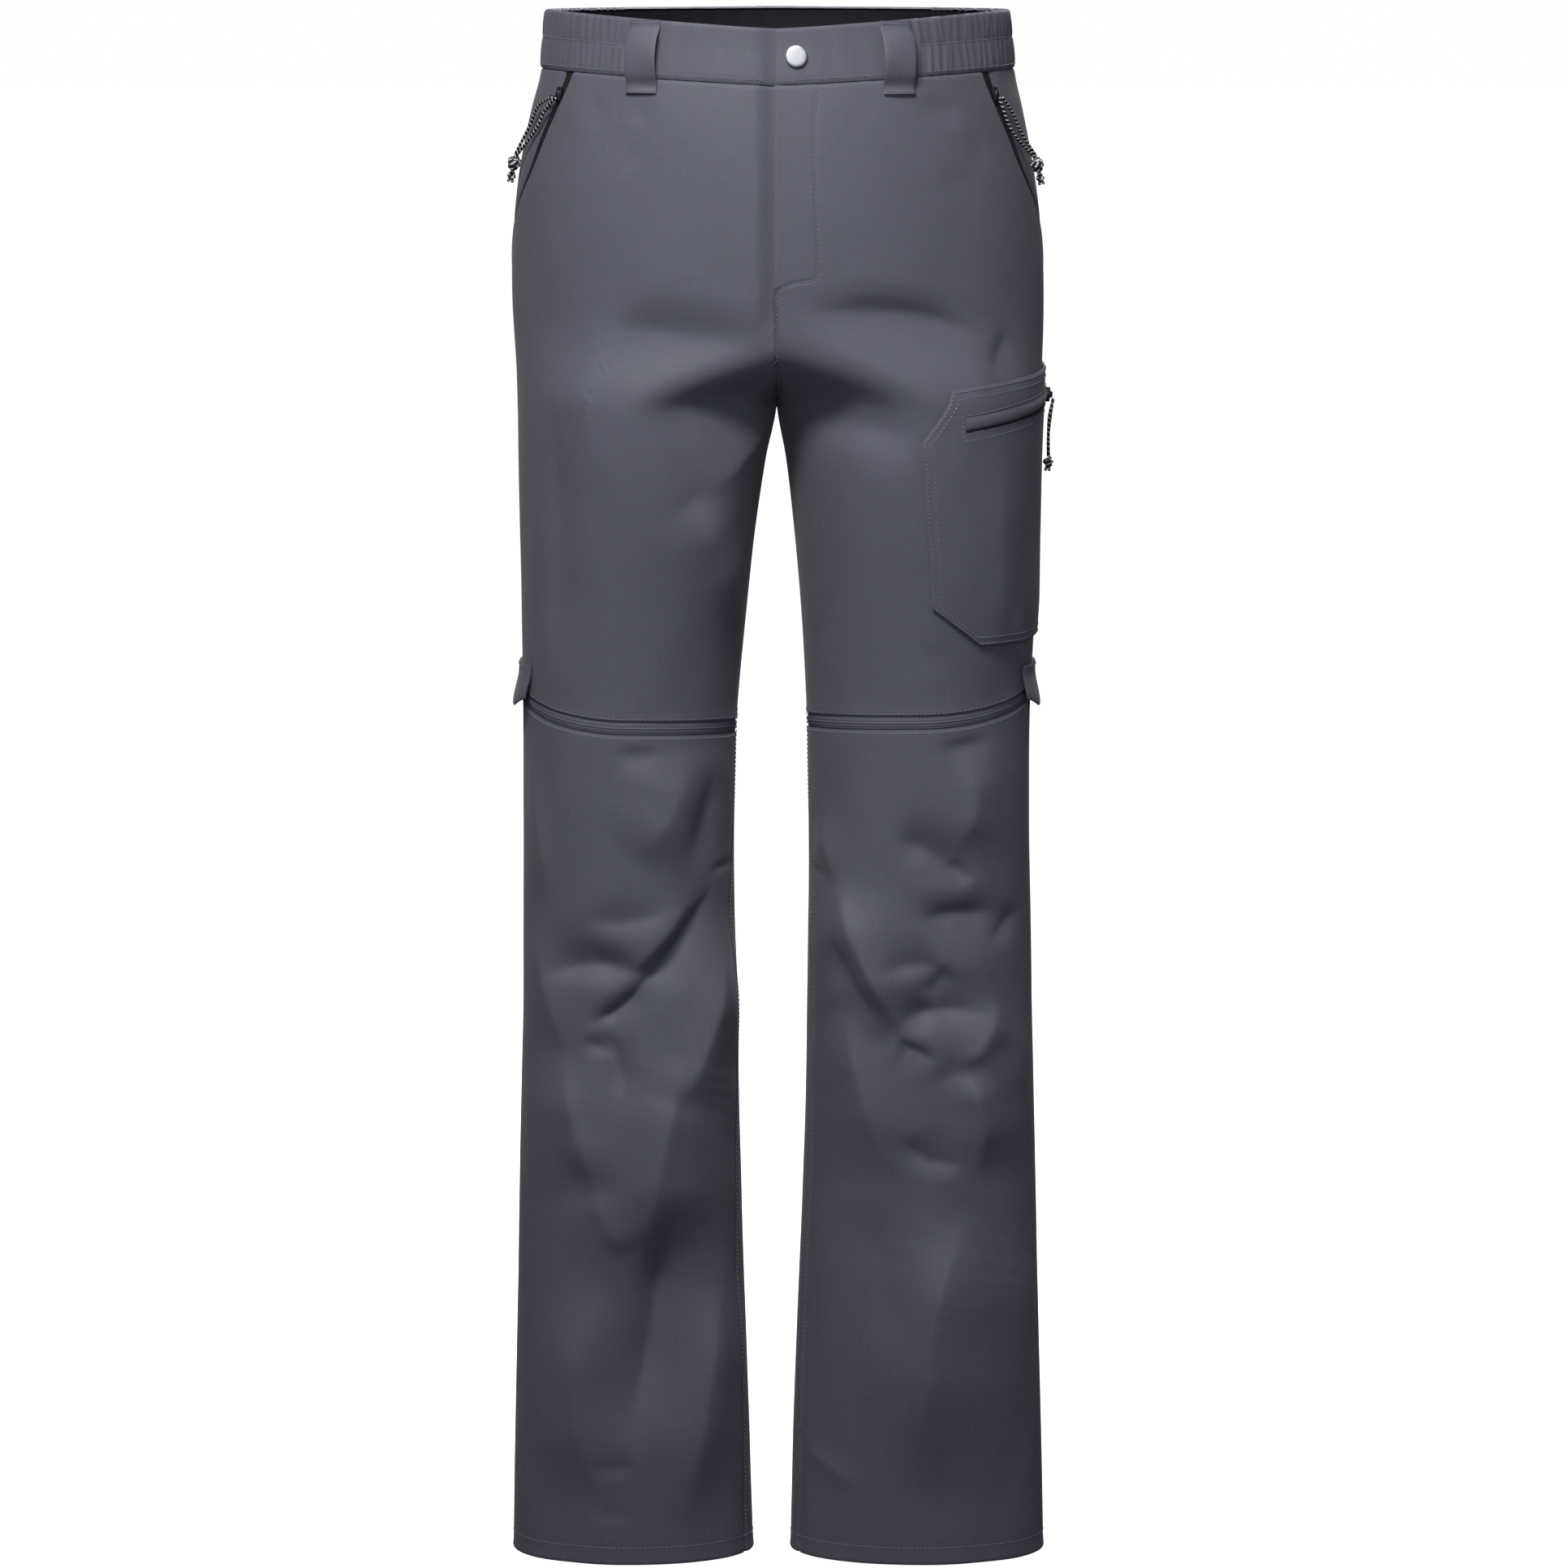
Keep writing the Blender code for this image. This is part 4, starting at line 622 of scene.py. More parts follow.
@dataclass(frozen=True)
class WovenCloth:
    """Fine plain-woven nylon: matt, with a faint sheen and uneven threads."""

    name: str
    dark: str
    light: str
    thread_mm: float = 0.55
    slub_mm: float = 0.8
    slub_length_mm: float = 20.0
    roughness: float = 0.62
    sheen: float = 0.10

    def make(self) -> bpy.types.Material:
        """Build the material on the piece's own UV map, which is in metres."""
        material, tree, shader = start_material(self.name)
        place = add_node(tree, "ShaderNodeUVMap", uv_map="cloth").outputs["UV"]
        fine, long = 1000 / self.slub_mm, 1000 / self.slub_length_mm
        slubs = []
        for across, along in ((fine, long), (long, fine)):
            spread = add_node(tree, "ShaderNodeMapping",
                              {"Vector": place, "Scale": (across, along, 1.0)})
            slubs.append(add_node(tree, "ShaderNodeTexNoise",
                                  {"Vector": spread.outputs[0], "Scale": 1.0, "Detail": 2.0,
                                   "Roughness": 0.6}).outputs["Fac"])
        threads = add_node(tree, "ShaderNodeMath", {0: slubs[0], 1: slubs[1]}, operation="ADD")
        patches = add_node(tree, "ShaderNodeTexNoise",
                           {"Vector": place, "Scale": 22.0, "Detail": 3.0, "Roughness": 0.5})
        mixed = add_node(tree, "ShaderNodeMath",
                         {0: patches.outputs["Fac"], 1: 0.5, 2: threads.outputs[0]},
                         operation="MULTIPLY_ADD")
        ramp = add_node(tree, "ShaderNodeMapRange",
                        {"Value": mixed.outputs[0], "From Min": 0.95, "From Max": 1.55})
        colour = add_node(tree, "ShaderNodeMix",
                          {"Factor": ramp.outputs[0], "A": srgb(self.dark), "B": srgb(self.light)},
                          data_type="RGBA")
        for socket in colour.inputs:
            if socket.type == "RGBA" and socket.name in ("A", "B"):
                socket.default_value = srgb(self.dark if socket.name == "A" else self.light)
        tree.links.new(colour.outputs["Result"], shader.inputs["Base Color"])
        pitch = 2 * math.pi / (20 * self.thread_mm * MM)
        weave = [
            add_node(tree, "ShaderNodeTexWave", {"Vector": place, "Scale": pitch},
                     wave_type="BANDS", bands_direction=direction).outputs["Fac"]
            for direction in ("X", "Y")
        ]
        crossing = add_node(tree, "ShaderNodeMath", {0: weave[0], 1: weave[1]},
                            operation="MULTIPLY")
        height = add_node(tree, "ShaderNodeMath",
                          {0: threads.outputs[0], 1: 0.8, 2: crossing.outputs[0]},
                          operation="MULTIPLY_ADD")
        relief = add_node(tree, "ShaderNodeBump",
                          {"Height": height.outputs[0], "Strength": 0.28, "Distance": 0.00010})
        tree.links.new(relief.outputs[0], shader.inputs["Normal"])
        gloss = add_node(tree, "ShaderNodeMapRange",
                         {"Value": threads.outputs[0], "From Min": 0.6, "From Max": 1.4,
                          "To Min": self.roughness + 0.07, "To Max": self.roughness - 0.07})
        tree.links.new(gloss.outputs[0], shader.inputs["Roughness"])
        shader.inputs["Sheen Weight"].default_value = self.sheen
        shader.inputs["Sheen Roughness"].default_value = 0.45
        shader.inputs["Specular IOR Level"].default_value = 0.35
        return material


@dataclass(frozen=True)
class WovenTape:
    """Polyester zip tape: a fine herringbone twill, darker than the cloth."""

    name: str
    colour: str
    rib_mm: float = 0.9

    def make(self) -> bpy.types.Material:
        """Build the material on the piece's own UV map."""
        material, tree, shader = start_material(self.name)
        place = add_node(tree, "ShaderNodeUVMap", uv_map="cloth").outputs["UV"]
        ribs = add_node(tree, "ShaderNodeTexWave",
                        {"Vector": place, "Scale": 2 * math.pi / (20 * self.rib_mm * MM),
                         "Distortion": 0.6},
                        wave_type="BANDS", bands_direction="DIAGONAL")
        shade = add_node(tree, "ShaderNodeMapRange",
                         {"Value": ribs.outputs["Fac"], "To Min": 0.75, "To Max": 1.15})
        colour = add_node(tree, "ShaderNodeVectorMath",
                          {0: srgb(self.colour)[:3], "Scale": shade.outputs[0]},
                          operation="SCALE")
        tree.links.new(colour.outputs["Vector"], shader.inputs["Base Color"])
        relief = add_node(tree, "ShaderNodeBump",
                          {"Height": ribs.outputs["Fac"], "Strength": 0.4, "Distance": 0.00015})
        tree.links.new(relief.outputs[0], shader.inputs["Normal"])
        shader.inputs["Roughness"].default_value = 0.75
        return material


@dataclass(frozen=True)
class SpunThread:
    """Polyester sewing thread: twisted, with a soft shine."""

    name: str
    colour: str

    def make(self) -> bpy.types.Material:
        """Build the material on Object coordinates, with the twist as a fine noise."""
        material, tree, shader = start_material(self.name)
        place = add_node(tree, "ShaderNodeTexCoord").outputs["Object"]
        twist = add_node(tree, "ShaderNodeTexNoise", {"Vector": place, "Scale": 2500.0})
        shade = add_node(tree, "ShaderNodeMapRange",
                         {"Value": twist.outputs["Fac"], "To Min": 0.8, "To Max": 1.2})
        colour = add_node(tree, "ShaderNodeVectorMath",
                          {0: srgb(self.colour)[:3], "Scale": shade.outputs[0]},
                          operation="SCALE")
        tree.links.new(colour.outputs["Vector"], shader.inputs["Base Color"])
        shader.inputs["Roughness"].default_value = 0.5
        return material


@dataclass(frozen=True)
class FleckedBraid:
    """Braided pull cord: near black, with one white tracer yarn that winds round it."""

    name: str
    dark: str
    fleck: str
    pitch_mm: float = 3.4
    share: float = 0.27

    def make(self) -> bpy.types.Material:
        """Build the material on a UV map: turns round the cord, and metres along it."""
        material, tree, shader = start_material(self.name)
        place = add_node(tree, "ShaderNodeUVMap", uv_map="cloth").outputs["UV"]
        axes = add_node(tree, "ShaderNodeSeparateXYZ", {0: place})
        wound = add_node(tree, "ShaderNodeMath",
                         {0: axes.outputs["Y"], 1: 1000 / self.pitch_mm, 2: axes.outputs["X"]},
                         operation="MULTIPLY_ADD")
        turn = add_node(tree, "ShaderNodeMath", {0: wound.outputs[0]}, operation="FRACT")
        tracer = add_node(tree, "ShaderNodeMath", {0: turn.outputs[0], 1: self.share},
                          operation="LESS_THAN")
        colour = add_node(tree, "ShaderNodeMix", {"Factor": tracer.outputs[0]}, data_type="RGBA")
        for socket in colour.inputs:
            if socket.type == "RGBA" and socket.name in ("A", "B"):
                socket.default_value = srgb(self.dark if socket.name == "A" else self.fleck)
        tree.links.new(colour.outputs["Result"], shader.inputs["Base Color"])
        braid = add_node(tree, "ShaderNodeMapping",
                         {"Vector": place, "Scale": (6.0, 1000 / 1.1, 1.0)})
        picks = add_node(tree, "ShaderNodeTexWave", {"Vector": braid.outputs[0], "Scale": 0.314},
                         wave_type="BANDS", bands_direction="DIAGONAL")
        relief = add_node(tree, "ShaderNodeBump",
                          {"Height": picks.outputs["Fac"], "Strength": 0.3, "Distance": 0.0001})
        tree.links.new(relief.outputs[0], shader.inputs["Normal"])
        shader.inputs["Roughness"].default_value = 0.6
        return material


@dataclass(frozen=True)
class CastMetal:
    """Plated or painted zinc: even, with fine wear that changes its gloss."""

    name: str
    colour: str
    roughness: float
    metallic: float
    grain_mm: float = 0.5

    def make(self) -> bpy.types.Material:
        """Build the material on Object coordinates."""
        material, tree, shader = start_material(self.name)
        place = add_node(tree, "ShaderNodeTexCoord").outputs["Object"]
        grain = add_node(tree, "ShaderNodeTexNoise",
                         {"Vector": place, "Scale": 1000 / self.grain_mm, "Detail": 3.0})
        gloss = add_node(tree, "ShaderNodeMapRange",
                         {"Value": grain.outputs["Fac"], "To Min": self.roughness - 0.08,
                          "To Max": self.roughness + 0.08})
        tree.links.new(gloss.outputs[0], shader.inputs["Roughness"])
        relief = add_node(tree, "ShaderNodeBump",
                          {"Height": grain.outputs["Fac"], "Strength": 0.1, "Distance": 0.00005})
        tree.links.new(relief.outputs[0], shader.inputs["Normal"])
        shader.inputs["Base Color"].default_value = srgb(self.colour)
        shader.inputs["Metallic"].default_value = self.metallic
        return material


class Finishes:
    """Every material of the trousers, made once."""

    def __init__(self) -> None:
        """Make the materials."""
        self.cloth = WovenCloth("woven nylon, grey violet", "#575863", "#5e5f6b").make()
        # The inner faces are painted near black: painted shade inside the hollow legs, pockets and
        # hems. The nylon itself is the grey violet above.
        self.inside = WovenCloth("woven nylon, inner side", "#1c1d26", "#23242e",
                                 sheen=0.01).make()
        # The band's inner faces are painted near black: painted shade inside the waist.
        self.lining = WovenCloth("waistband lining, navy black", "#0e0f17", "#14151e",
                                 sheen=0.01).make()
        self.tape = WovenTape("polyester zip tape", "#5a5b67").make()
        # Near-black tape: painted shade in the pocket slits and inside the knee zip, standing in for
        # the shadow of the recess.
        self.dark_tape = WovenTape("black polyester zip tape", "#0f1015").make()
        self.coil = SpunThread("nylon zip coil", "#24252c").make()
        self.thread = SpunThread("polyester sewing thread", "#7c7d8a").make()
        self.cord = FleckedBraid("braided cord with white tracer", "#15151b", "#dcdce0").make()
        self.slider = CastMetal("painted zinc slider", "#2c2c34", 0.42, 0.6).make()
        self.snap = CastMetal("satin nickel snap", "#b4b5ba", 0.42, 1.0).make()


class Piece:
    """Helpers that turn grids of points into finished objects of the scene."""

    @staticmethod
    def from_mesh(
        mesh: bpy.types.Mesh, materials: Sequence[bpy.types.Material], slot: Slot
    ) -> bpy.types.Object:
        """Put a mesh in the scene under its own name, riding on the body."""
        for material in materials:
            mesh.materials.append(material)
        piece = bpy.data.objects.new(mesh.name, mesh)
        bpy.context.scene.collection.objects.link(piece)
        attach(piece, BODY)
        return piece

    @staticmethod
    def mesh(
        name: str, points: np.ndarray, faces: Sequence, uv: np.ndarray | None = None,
        slots: Sequence[int] | None = None, smooth: float = 60.0,
    ) -> bpy.types.Mesh:
        """Make a smooth-shaded mesh.

        Args:
            name: The mesh's and the piece's name.
            points: The vertices.
            faces: The faces, as tuples of vertex numbers.
            uv: One UV pair for each vertex.
            slots: One material number for each face.
            smooth: Edges sharper than this angle in degrees stay sharp.

        Returns:
            The mesh.
        """
        mesh = bpy.data.meshes.new(name)
        mesh.from_pydata(np.asarray(points).reshape(-1, 3).tolist(), [], faces)
        if uv is not None:
            corners = np.empty(len(mesh.loops), dtype=np.int32)
            mesh.loops.foreach_get("vertex_index", corners)
            layer = mesh.uv_layers.new(name="cloth")
            layer.data.foreach_set("uv", np.asarray(uv)[corners].astype(np.float32).ravel())
        if slots is not None:
            mesh.polygons.foreach_set("material_index", np.asarray(slots, dtype=np.int32))
        mesh.shade_smooth()
        mesh.set_sharp_from_angle(angle=math.radians(smooth))
        mesh.update()
        return mesh


def grid_normals(points: np.ndarray) -> np.ndarray:
    """Unit normals of a grid of points, to the right-hand side of columns by rows."""
    across = np.gradient(points, axis=1)
    down = np.gradient(points, axis=0)
    normal = np.cross(across, -down)
    return normal / np.maximum(np.linalg.norm(normal, axis=-1, keepdims=True), 1e-12)


def wall_mesh(
    name: str, outer: np.ndarray, wall: float, uv: np.ndarray, side: int, closed: bool = False
) -> bpy.types.Mesh:
    """Closed cloth wall behind a grid of outer points.

    Args:
        name: The mesh's name.
        outer: The grid, rows from top to bottom.
        wall: The cloth's thickness.
        uv: The grid's UV pairs.
        side: 1 if the columns run to the right seen from outside, -1 if to the left.
        closed: True where the last column joins the first one.

    Returns:
        The mesh, with material 0 outside and on the edges and material 1 inside.
    """
    rows, columns = outer.shape[:2]
    if closed:
        padded = np.concatenate([outer[:, -1:], outer, outer[:, :1]], axis=1)
        normals = grid_normals(padded)[:, 1:-1] * side
    else:
        normals = grid_normals(outer) * side
    inner = outer - normals * wall
    number = np.arange(rows * columns).reshape(rows, columns)
    if closed:
        number = np.concatenate([number, number[:, :1]], axis=1)
    offset = rows * columns
    a, b = number[:-1, :-1].ravel(), number[1:, :-1].ravel()
    c, d = number[1:, 1:].ravel(), number[:-1, 1:].ravel()
    order = (a, b, c, d) if side > 0 else (a, d, c, b)
    outside = np.stack(order, axis=1)
    inside = np.stack(order[::-1], axis=1) + offset
    rims = []
    edges = [(number[0, :-1], number[0, 1:], 1), (number[-1, :-1], number[-1, 1:], -1)]
    if not closed:
        edges += [(number[:-1, 0], number[1:, 0], -1), (number[:-1, -1], number[1:, -1], 1)]
    for first, second, turn in edges:
        rim = [first, second, second + offset, first + offset]
        rims.append(np.stack(rim if turn * side > 0 else rim[::-1], axis=1))
    rim_faces = np.concatenate(rims)
    faces = np.concatenate([outside, inside, rim_faces]).tolist()
    slots = [0] * len(outside) + [1] * len(inside) + [0] * len(rim_faces)
    points = np.concatenate([outer.reshape(-1, 3), inner.reshape(-1, 3)])
    flat_uv = np.concatenate([uv.reshape(-1, 2), uv.reshape(-1, 2)])
    return Piece.mesh(name, points, faces, flat_uv, slots, smooth=50.0)


def spread(
    length: float, step: float, edges: Sequence[float] = (0.6, 1.3, 2.2, 3.4),
    dense: Sequence[tuple[float, float, float]] = (),
) -> np.ndarray:
    """Shares from 0 to 1, close together near both ends and a step apart between.

    Args:
        length: The real length, in metres.
        step: The spacing in the middle, in metres.
        edges: Distances of the first shares from each end, in millimetres.
        dense: Stretches with a spacing of their own: start, end and step, in millimetres.

    Returns:
        The shares, rising from 0 to 1.
    """
    near = np.array([0.0, *edges]) * MM
    places = np.linspace(near[-1], length - near[-1], max(int(length / step), 2))
    for first, last, fine in dense:
        places = places[(places < first * MM) | (places > last * MM)]
        places = np.concatenate([places, np.arange(first, last, fine) * MM])
    places = np.concatenate([near[:-1], np.sort(places), (length - near[:-1])[::-1]])
    return places / length


def line_distance(x: np.ndarray, z: np.ndarray, line: Sequence[tuple[float, float]]) -> np.ndarray:
    """Distance from points to a line through corners in millimetres, seen from the front."""
    best = np.full(np.shape(x), 1.0)
    corners = np.array(line, float) * MM
    for (ax, az), (bx, bz) in zip(corners[:-1], corners[1:]):
        step_x, step_z = bx - ax, bz - az
        t = ((x - ax) * step_x + (z - az) * step_z) / (step_x**2 + step_z**2)
        t = np.clip(t, 0.0, 1.0)
        best = np.minimum(best, np.hypot(x - ax - t * step_x, z - az - t * step_z))
    return best


FLY_STITCH = [
    (27.4, -33.5), (24.7, -66.3), (25.9, -96.0), (26.9, -125.4), (27.7, -145.0),
    (28.0, -158.0), (24.5, -161.6), (13.3, -163.4), (4.0, -167.0), (0.6, -168.6),
]


class PanelGrid:
    """Fine grid of angles and heights between four edge curves."""

    def __init__(
        self, leg: Leg, start: Callable, end: Callable, top: Callable, bottom: Callable,
        columns: np.ndarray, rows: np.ndarray, first_height: float, last_height: float,
    ) -> None:
        """Lay the grid out.

        Args:
            leg: The leg that the panel is on.
            start: Angle of the first column at heights.
            end: Angle of the last column at heights.
            top: Height of the first row at angles.
            bottom: Height of the last row at angles.
            columns: Shares across.
            rows: Shares down.
            first_height: Rough height of the top edge.
            last_height: Rough height of the bottom edge.
        """
        self.leg = leg
        u, t = columns[None, :], rows[:, None]
        z = first_height + (last_height - first_height) * t + 0.0 * u
        for _ in range(10):
            theta = start(z) + (end(z) - start(z)) * u
            z = (1 - t) * top(theta) + t * bottom(theta)
        self.theta = start(z) + (end(z) - start(z)) * u
        self.z = z
        base = FORM.point(leg.value, self.theta, self.z)
        across = np.linalg.norm(np.diff(base, axis=1), axis=-1)
        down = np.linalg.norm(np.diff(base, axis=0), axis=-1)
        zero_column, zero_row = np.zeros((z.shape[0], 1)), np.zeros((1, z.shape[1]))
        self.from_start = np.concatenate([zero_column, np.cumsum(across, axis=1)], axis=1)
        self.from_end = self.from_start[:, -1:] - self.from_start
        self.from_top = np.concatenate([zero_row, np.cumsum(down, axis=0)])
        self.from_bottom = self.from_top[-1:] - self.from_top

    def uv(self) -> np.ndarray:
        """UV pairs in metres: round the leg, and up it."""
        radius = FORM.radius(self.leg.value, self.z)
        return np.stack([np.radians(self.theta) * radius, self.z], axis=-1)

    def wall(self, name: str, out: np.ndarray | float, wall: float) -> bpy.types.Mesh:
        """Cloth wall with its outer face a distance out from the surface."""
        outer = surface(self.leg, self.theta, self.z, out)
        turn = 1 if (self.theta[0, -1] > self.theta[0, 0]) == (self.leg is Leg.LEFT) else -1
        return wall_mesh(name, outer, wall, self.uv(), turn)


@dataclass(frozen=True)
class StitchStyle:
    """One kind of sewing: stitch pitch and thread size, in metres."""

    pitch: float = 0.0031
    cover: float = 0.74
    radius: float = 0.00032


class Sewing:
    """Rows of stitches, collected and made into one mesh for each part of the garment."""

    def __init__(self, finishes: Finishes) -> None:
        """Start with no stitches."""
        self.finishes = finishes
        self.rows: dict[str, list[tuple[np.ndarray, np.ndarray, StitchStyle]]] = {}

    def row(
        self, group: str, leg: Leg, theta: np.ndarray | float, z: np.ndarray | float,
        out: float = 0.0, style: StitchStyle = StitchStyle(),
    ) -> None:
        """Sew one row along the surface.

        Args:
            group: The name of the mesh that the row goes into.
            leg: The leg that it is on.
            theta: Angles along the row.
            z: Heights along the row.
            out: How far the cloth's face is from the surface there.
            style: The kind of stitch.
        """
        theta, z = np.broadcast_arrays(np.asarray(theta, float), np.asarray(z, float))
        points = surface(leg, theta, z, out)
        normals = FORM.normal(leg.value, theta, z)
        self.rows.setdefault(group, []).append((points, normals, style))

    def finish(self) -> None:
        """Make every group's mesh."""
        for group, rows in self.rows.items():
            points, faces = [], []
            for row_points, normals, style in rows:
                self.add_row(points, faces, row_points, normals, style)
            mesh = Piece.mesh(f"stitches_{group}", np.array(points), faces)
            Piece.from_mesh(mesh, [self.finishes.thread], Slot.CLOTH)
            LOG.info("stitches_%s: %d stitches", group, len(faces) // 12)

    @staticmethod
    def add_row(
        points: list, faces: list, route: np.ndarray, normals: np.ndarray, style: StitchStyle
    ) -> None:
        """Add one row's stitches, each a short thread that dips into the cloth at its ends."""
        steps = np.linalg.norm(np.diff(route, axis=0), axis=1)
        length = np.concatenate([[0.0], np.cumsum(steps)])
        count = max(int(length[-1] / style.pitch), 1)
        pitch = length[-1] / count
        centres = (np.arange(count) + 0.5) * pitch
        half = 0.5 * style.cover * pitch

        def at(values: np.ndarray, where: np.ndarray) -> np.ndarray:
            return np.stack([np.interp(where, length, values[:, k]) for k in range(3)], axis=1)

        first, last = at(route, centres - half), at(route, centres + half)
        along = last - first
        along /= np.linalg.norm(along, axis=1, keepdims=True)
        up = at(normals, centres)
        up /= np.linalg.norm(up, axis=1, keepdims=True)
        aside = np.cross(along, up)
        r = style.radius
        for a, b, t, n, s in zip(first, last, along, up, aside):
            base = len(points)
            points.append(a - n * r * 0.8)
            for place in (a + t * half * 0.5, b - t * half * 0.5):
                centre = place + n * r * 0.25
                points.extend([centre + s * r, centre + n * r, centre - s * r, centre - n * r])
            points.append(b - n * r * 0.8)
            for k in range(4):
                m = (k + 1) % 4
                faces.append((base, base + 1 + m, base + 1 + k))
                faces.append((base + 1 + k, base + 1 + m, base + 5 + m, base + 5 + k))
                faces.append((base + 9, base + 5 + k, base + 5 + m))


def angles_from_x(leg: Leg, x_mm: Sequence[float], z_mm: Sequence[float]) -> tuple:
    """Angles and heights of a route that is given by points seen from the front."""
    x, z = np.array(x_mm, float) * MM, np.array(z_mm, float) * MM
    return FORM.angle_at(leg.value, x, z), z


def fill_in(values: Sequence[float], count: int = 40) -> np.ndarray:
    """Read more points along a route, straight between its corners."""
    values = np.asarray(values, float)
    return np.interp(np.linspace(0, len(values) - 1, count), np.arange(len(values)), values)


@dataclass(frozen=True)
class LegPanels:
    """The four cloth panels of one leg, with their seams and hems."""

    leg: Leg
    finishes: Finishes
    sewing: Sewing
    front_step: float = 0.0025
    back_step: float = 0.0036
    wall: float = 0.0011
    seam_dip: float = 0.0015
    seam_width: float = 0.0014
    fold_lift: float = 0.0003

    def dip(self, distance: np.ndarray) -> np.ndarray:
        """How far the cloth turns down towards a seam."""
        return -self.seam_dip * bump(distance, self.seam_width)

    def fold(self, distance: np.ndarray) -> np.ndarray:
        """A folded edge: rounded over at the very edge, and a little proud beside it."""
        proud = self.fold_lift * bump(distance - 0.0022, 0.0026)
        return proud - 0.0006 * bump(distance, 0.0007)

    def add_front(self) -> None:
        """Upper front, from the waist seam to the knee zip."""
        leg, side = self.leg, self.leg.value
        grid = PanelGrid(
            leg, lambda z: FORM.front_start(side, z), FORM.pocket_edge, FORM.waist_seam,
            lambda theta: FORM.knee_line(side, theta),
            spread(0.262, self.front_step, dense=[(4, 33, 1.0)]),
            spread(0.437, self.front_step, dense=[(124, 144, 1.1)]),
            FORM.waist_seam_front, FORM.knee_front_left,
        )
        pocket = smooth_step(grid.z, -0.182, -0.176)
        out = self.dip(grid.from_top) + self.fold(grid.from_bottom)
        out += self.fold(grid.from_end) * pocket + self.dip(grid.from_end) * (1 - pocket)
        fly = smooth_step(grid.z, -0.172, -0.166) if leg is Leg.LEFT else 0.0
        out += self.dip(grid.from_start) * (1 - fly)
        out += (self.fold(grid.from_start) + 0.0008 * bump(grid.from_start, 0.012)) * fly
        out -= FORM.fly_recess(side, grid.theta, grid.z)
        if leg is Leg.LEFT:
            x = FORM.point(side, grid.theta, grid.z)[..., 0]
            out -= 0.0006 * bump(line_distance(x, grid.z, FLY_STITCH), 0.0010)
        self.sheet(grid.wall(f"front_panel_{leg.word}", out, self.wall),
                   f"upper_front_{leg.word}")

    def add_back(self) -> None:
        """Upper back, from the waist seam to the knee zip."""
        leg, side = self.leg, self.leg.value
        grid = PanelGrid(
            leg, FORM.back_end, lambda z: FORM.side_seam + 0.0 * z, FORM.waist_seam,
            lambda theta: FORM.knee_line(side, theta), spread(0.262, self.back_step),
            spread(0.440, self.back_step), FORM.waist_seam_side, FORM.knee_front_left,
        )
        out = self.dip(grid.from_top) + self.fold(grid.from_bottom)
        out += self.dip(grid.from_end) + self.dip(grid.from_start)
        self.sheet(grid.wall(f"back_panel_{leg.word}", out, self.wall),
                   f"upper_back_{leg.word}")

    def add_lower(self) -> None:
        """Lower leg's front and back, from the knee zip to the hem."""
        leg, side = self.leg, self.leg.value
        top = lambda theta: FORM.knee_line(side, theta) - FORM.knee_open  # noqa: E731
        bottom = lambda theta: FORM.hem_z + 0.0 * theta  # noqa: E731
        for word, start, step in (("front", FORM.inner_edge, self.front_step),
                                  ("back", lambda z: 360 + FORM.inner_edge(z), self.back_step)):
            grid = PanelGrid(
                leg, start, lambda z: FORM.side_seam + 0.0 * z, top, bottom,
                spread(0.240, step), spread(0.598, step), FORM.knee_front_left, FORM.hem_z,
            )
            out = self.fold(grid.from_bottom) - 0.0008 * bump(grid.from_top, 0.0018)
            out += self.dip(grid.from_end) + self.dip(grid.from_start)
            out -= 0.0003 * bump(grid.from_bottom - 0.0125, 0.0012)
            self.sheet(grid.wall(f"lower_{word}_panel_{leg.word}", out, self.wall),
                       f"lower_{word}_{leg.word}")

    def sheet(
        self, mesh: bpy.types.Mesh, node: str
    ) -> None:
        """Finish one panel and hide the CAD node that it stands for."""
        # Material 1, on the inner faces, is painted shade.
        piece = Piece.from_mesh(mesh, [self.finishes.cloth, self.finishes.inside], Slot.CLOTH)
        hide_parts(node)
        LOG.info("%s: %d faces", piece.name, len(mesh.polygons))

    def sew(self) -> None:
        """Topstitching along the seams, the knee's edges and the hem."""
        leg, side = self.leg, self.leg.value
        round_leg = np.linspace(-90.0, 270.0, 240)
        knee = FORM.knee_line(side, round_leg)
        group = f"knee_{leg.word}"
        self.sewing.row(group, leg, round_leg, knee + 0.0018, self.fold_lift)
        self.sewing.row(group, leg, round_leg, knee - FORM.knee_open - 0.0022)
        self.sewing.row(f"hem_{leg.word}", leg, round_leg, FORM.hem_z + 0.0125)
        group = f"seams_{leg.word}"
        degrees = np.degrees(0.0021 / 0.10)
        z = np.linspace(-0.185, -0.444, 120)
        self.sewing.row(group, leg, FORM.side_seam + degrees, z)
        z = np.linspace(-0.466, FORM.hem_z + 0.004, 240)
        self.sewing.row(group, leg, FORM.side_seam + degrees, z)
        self.sewing.row(group, leg, 360 + FORM.inner_edge(z) - degrees, z)
        z = np.linspace(-0.036, -0.244, 90)
        for offset in (0.0018, 0.0062):
            if leg is Leg.LEFT or offset < 0.002:
                angle = FORM.back_end(z) - np.degrees(offset / 0.125)
                self.sewing.row(group, leg, angle, z)


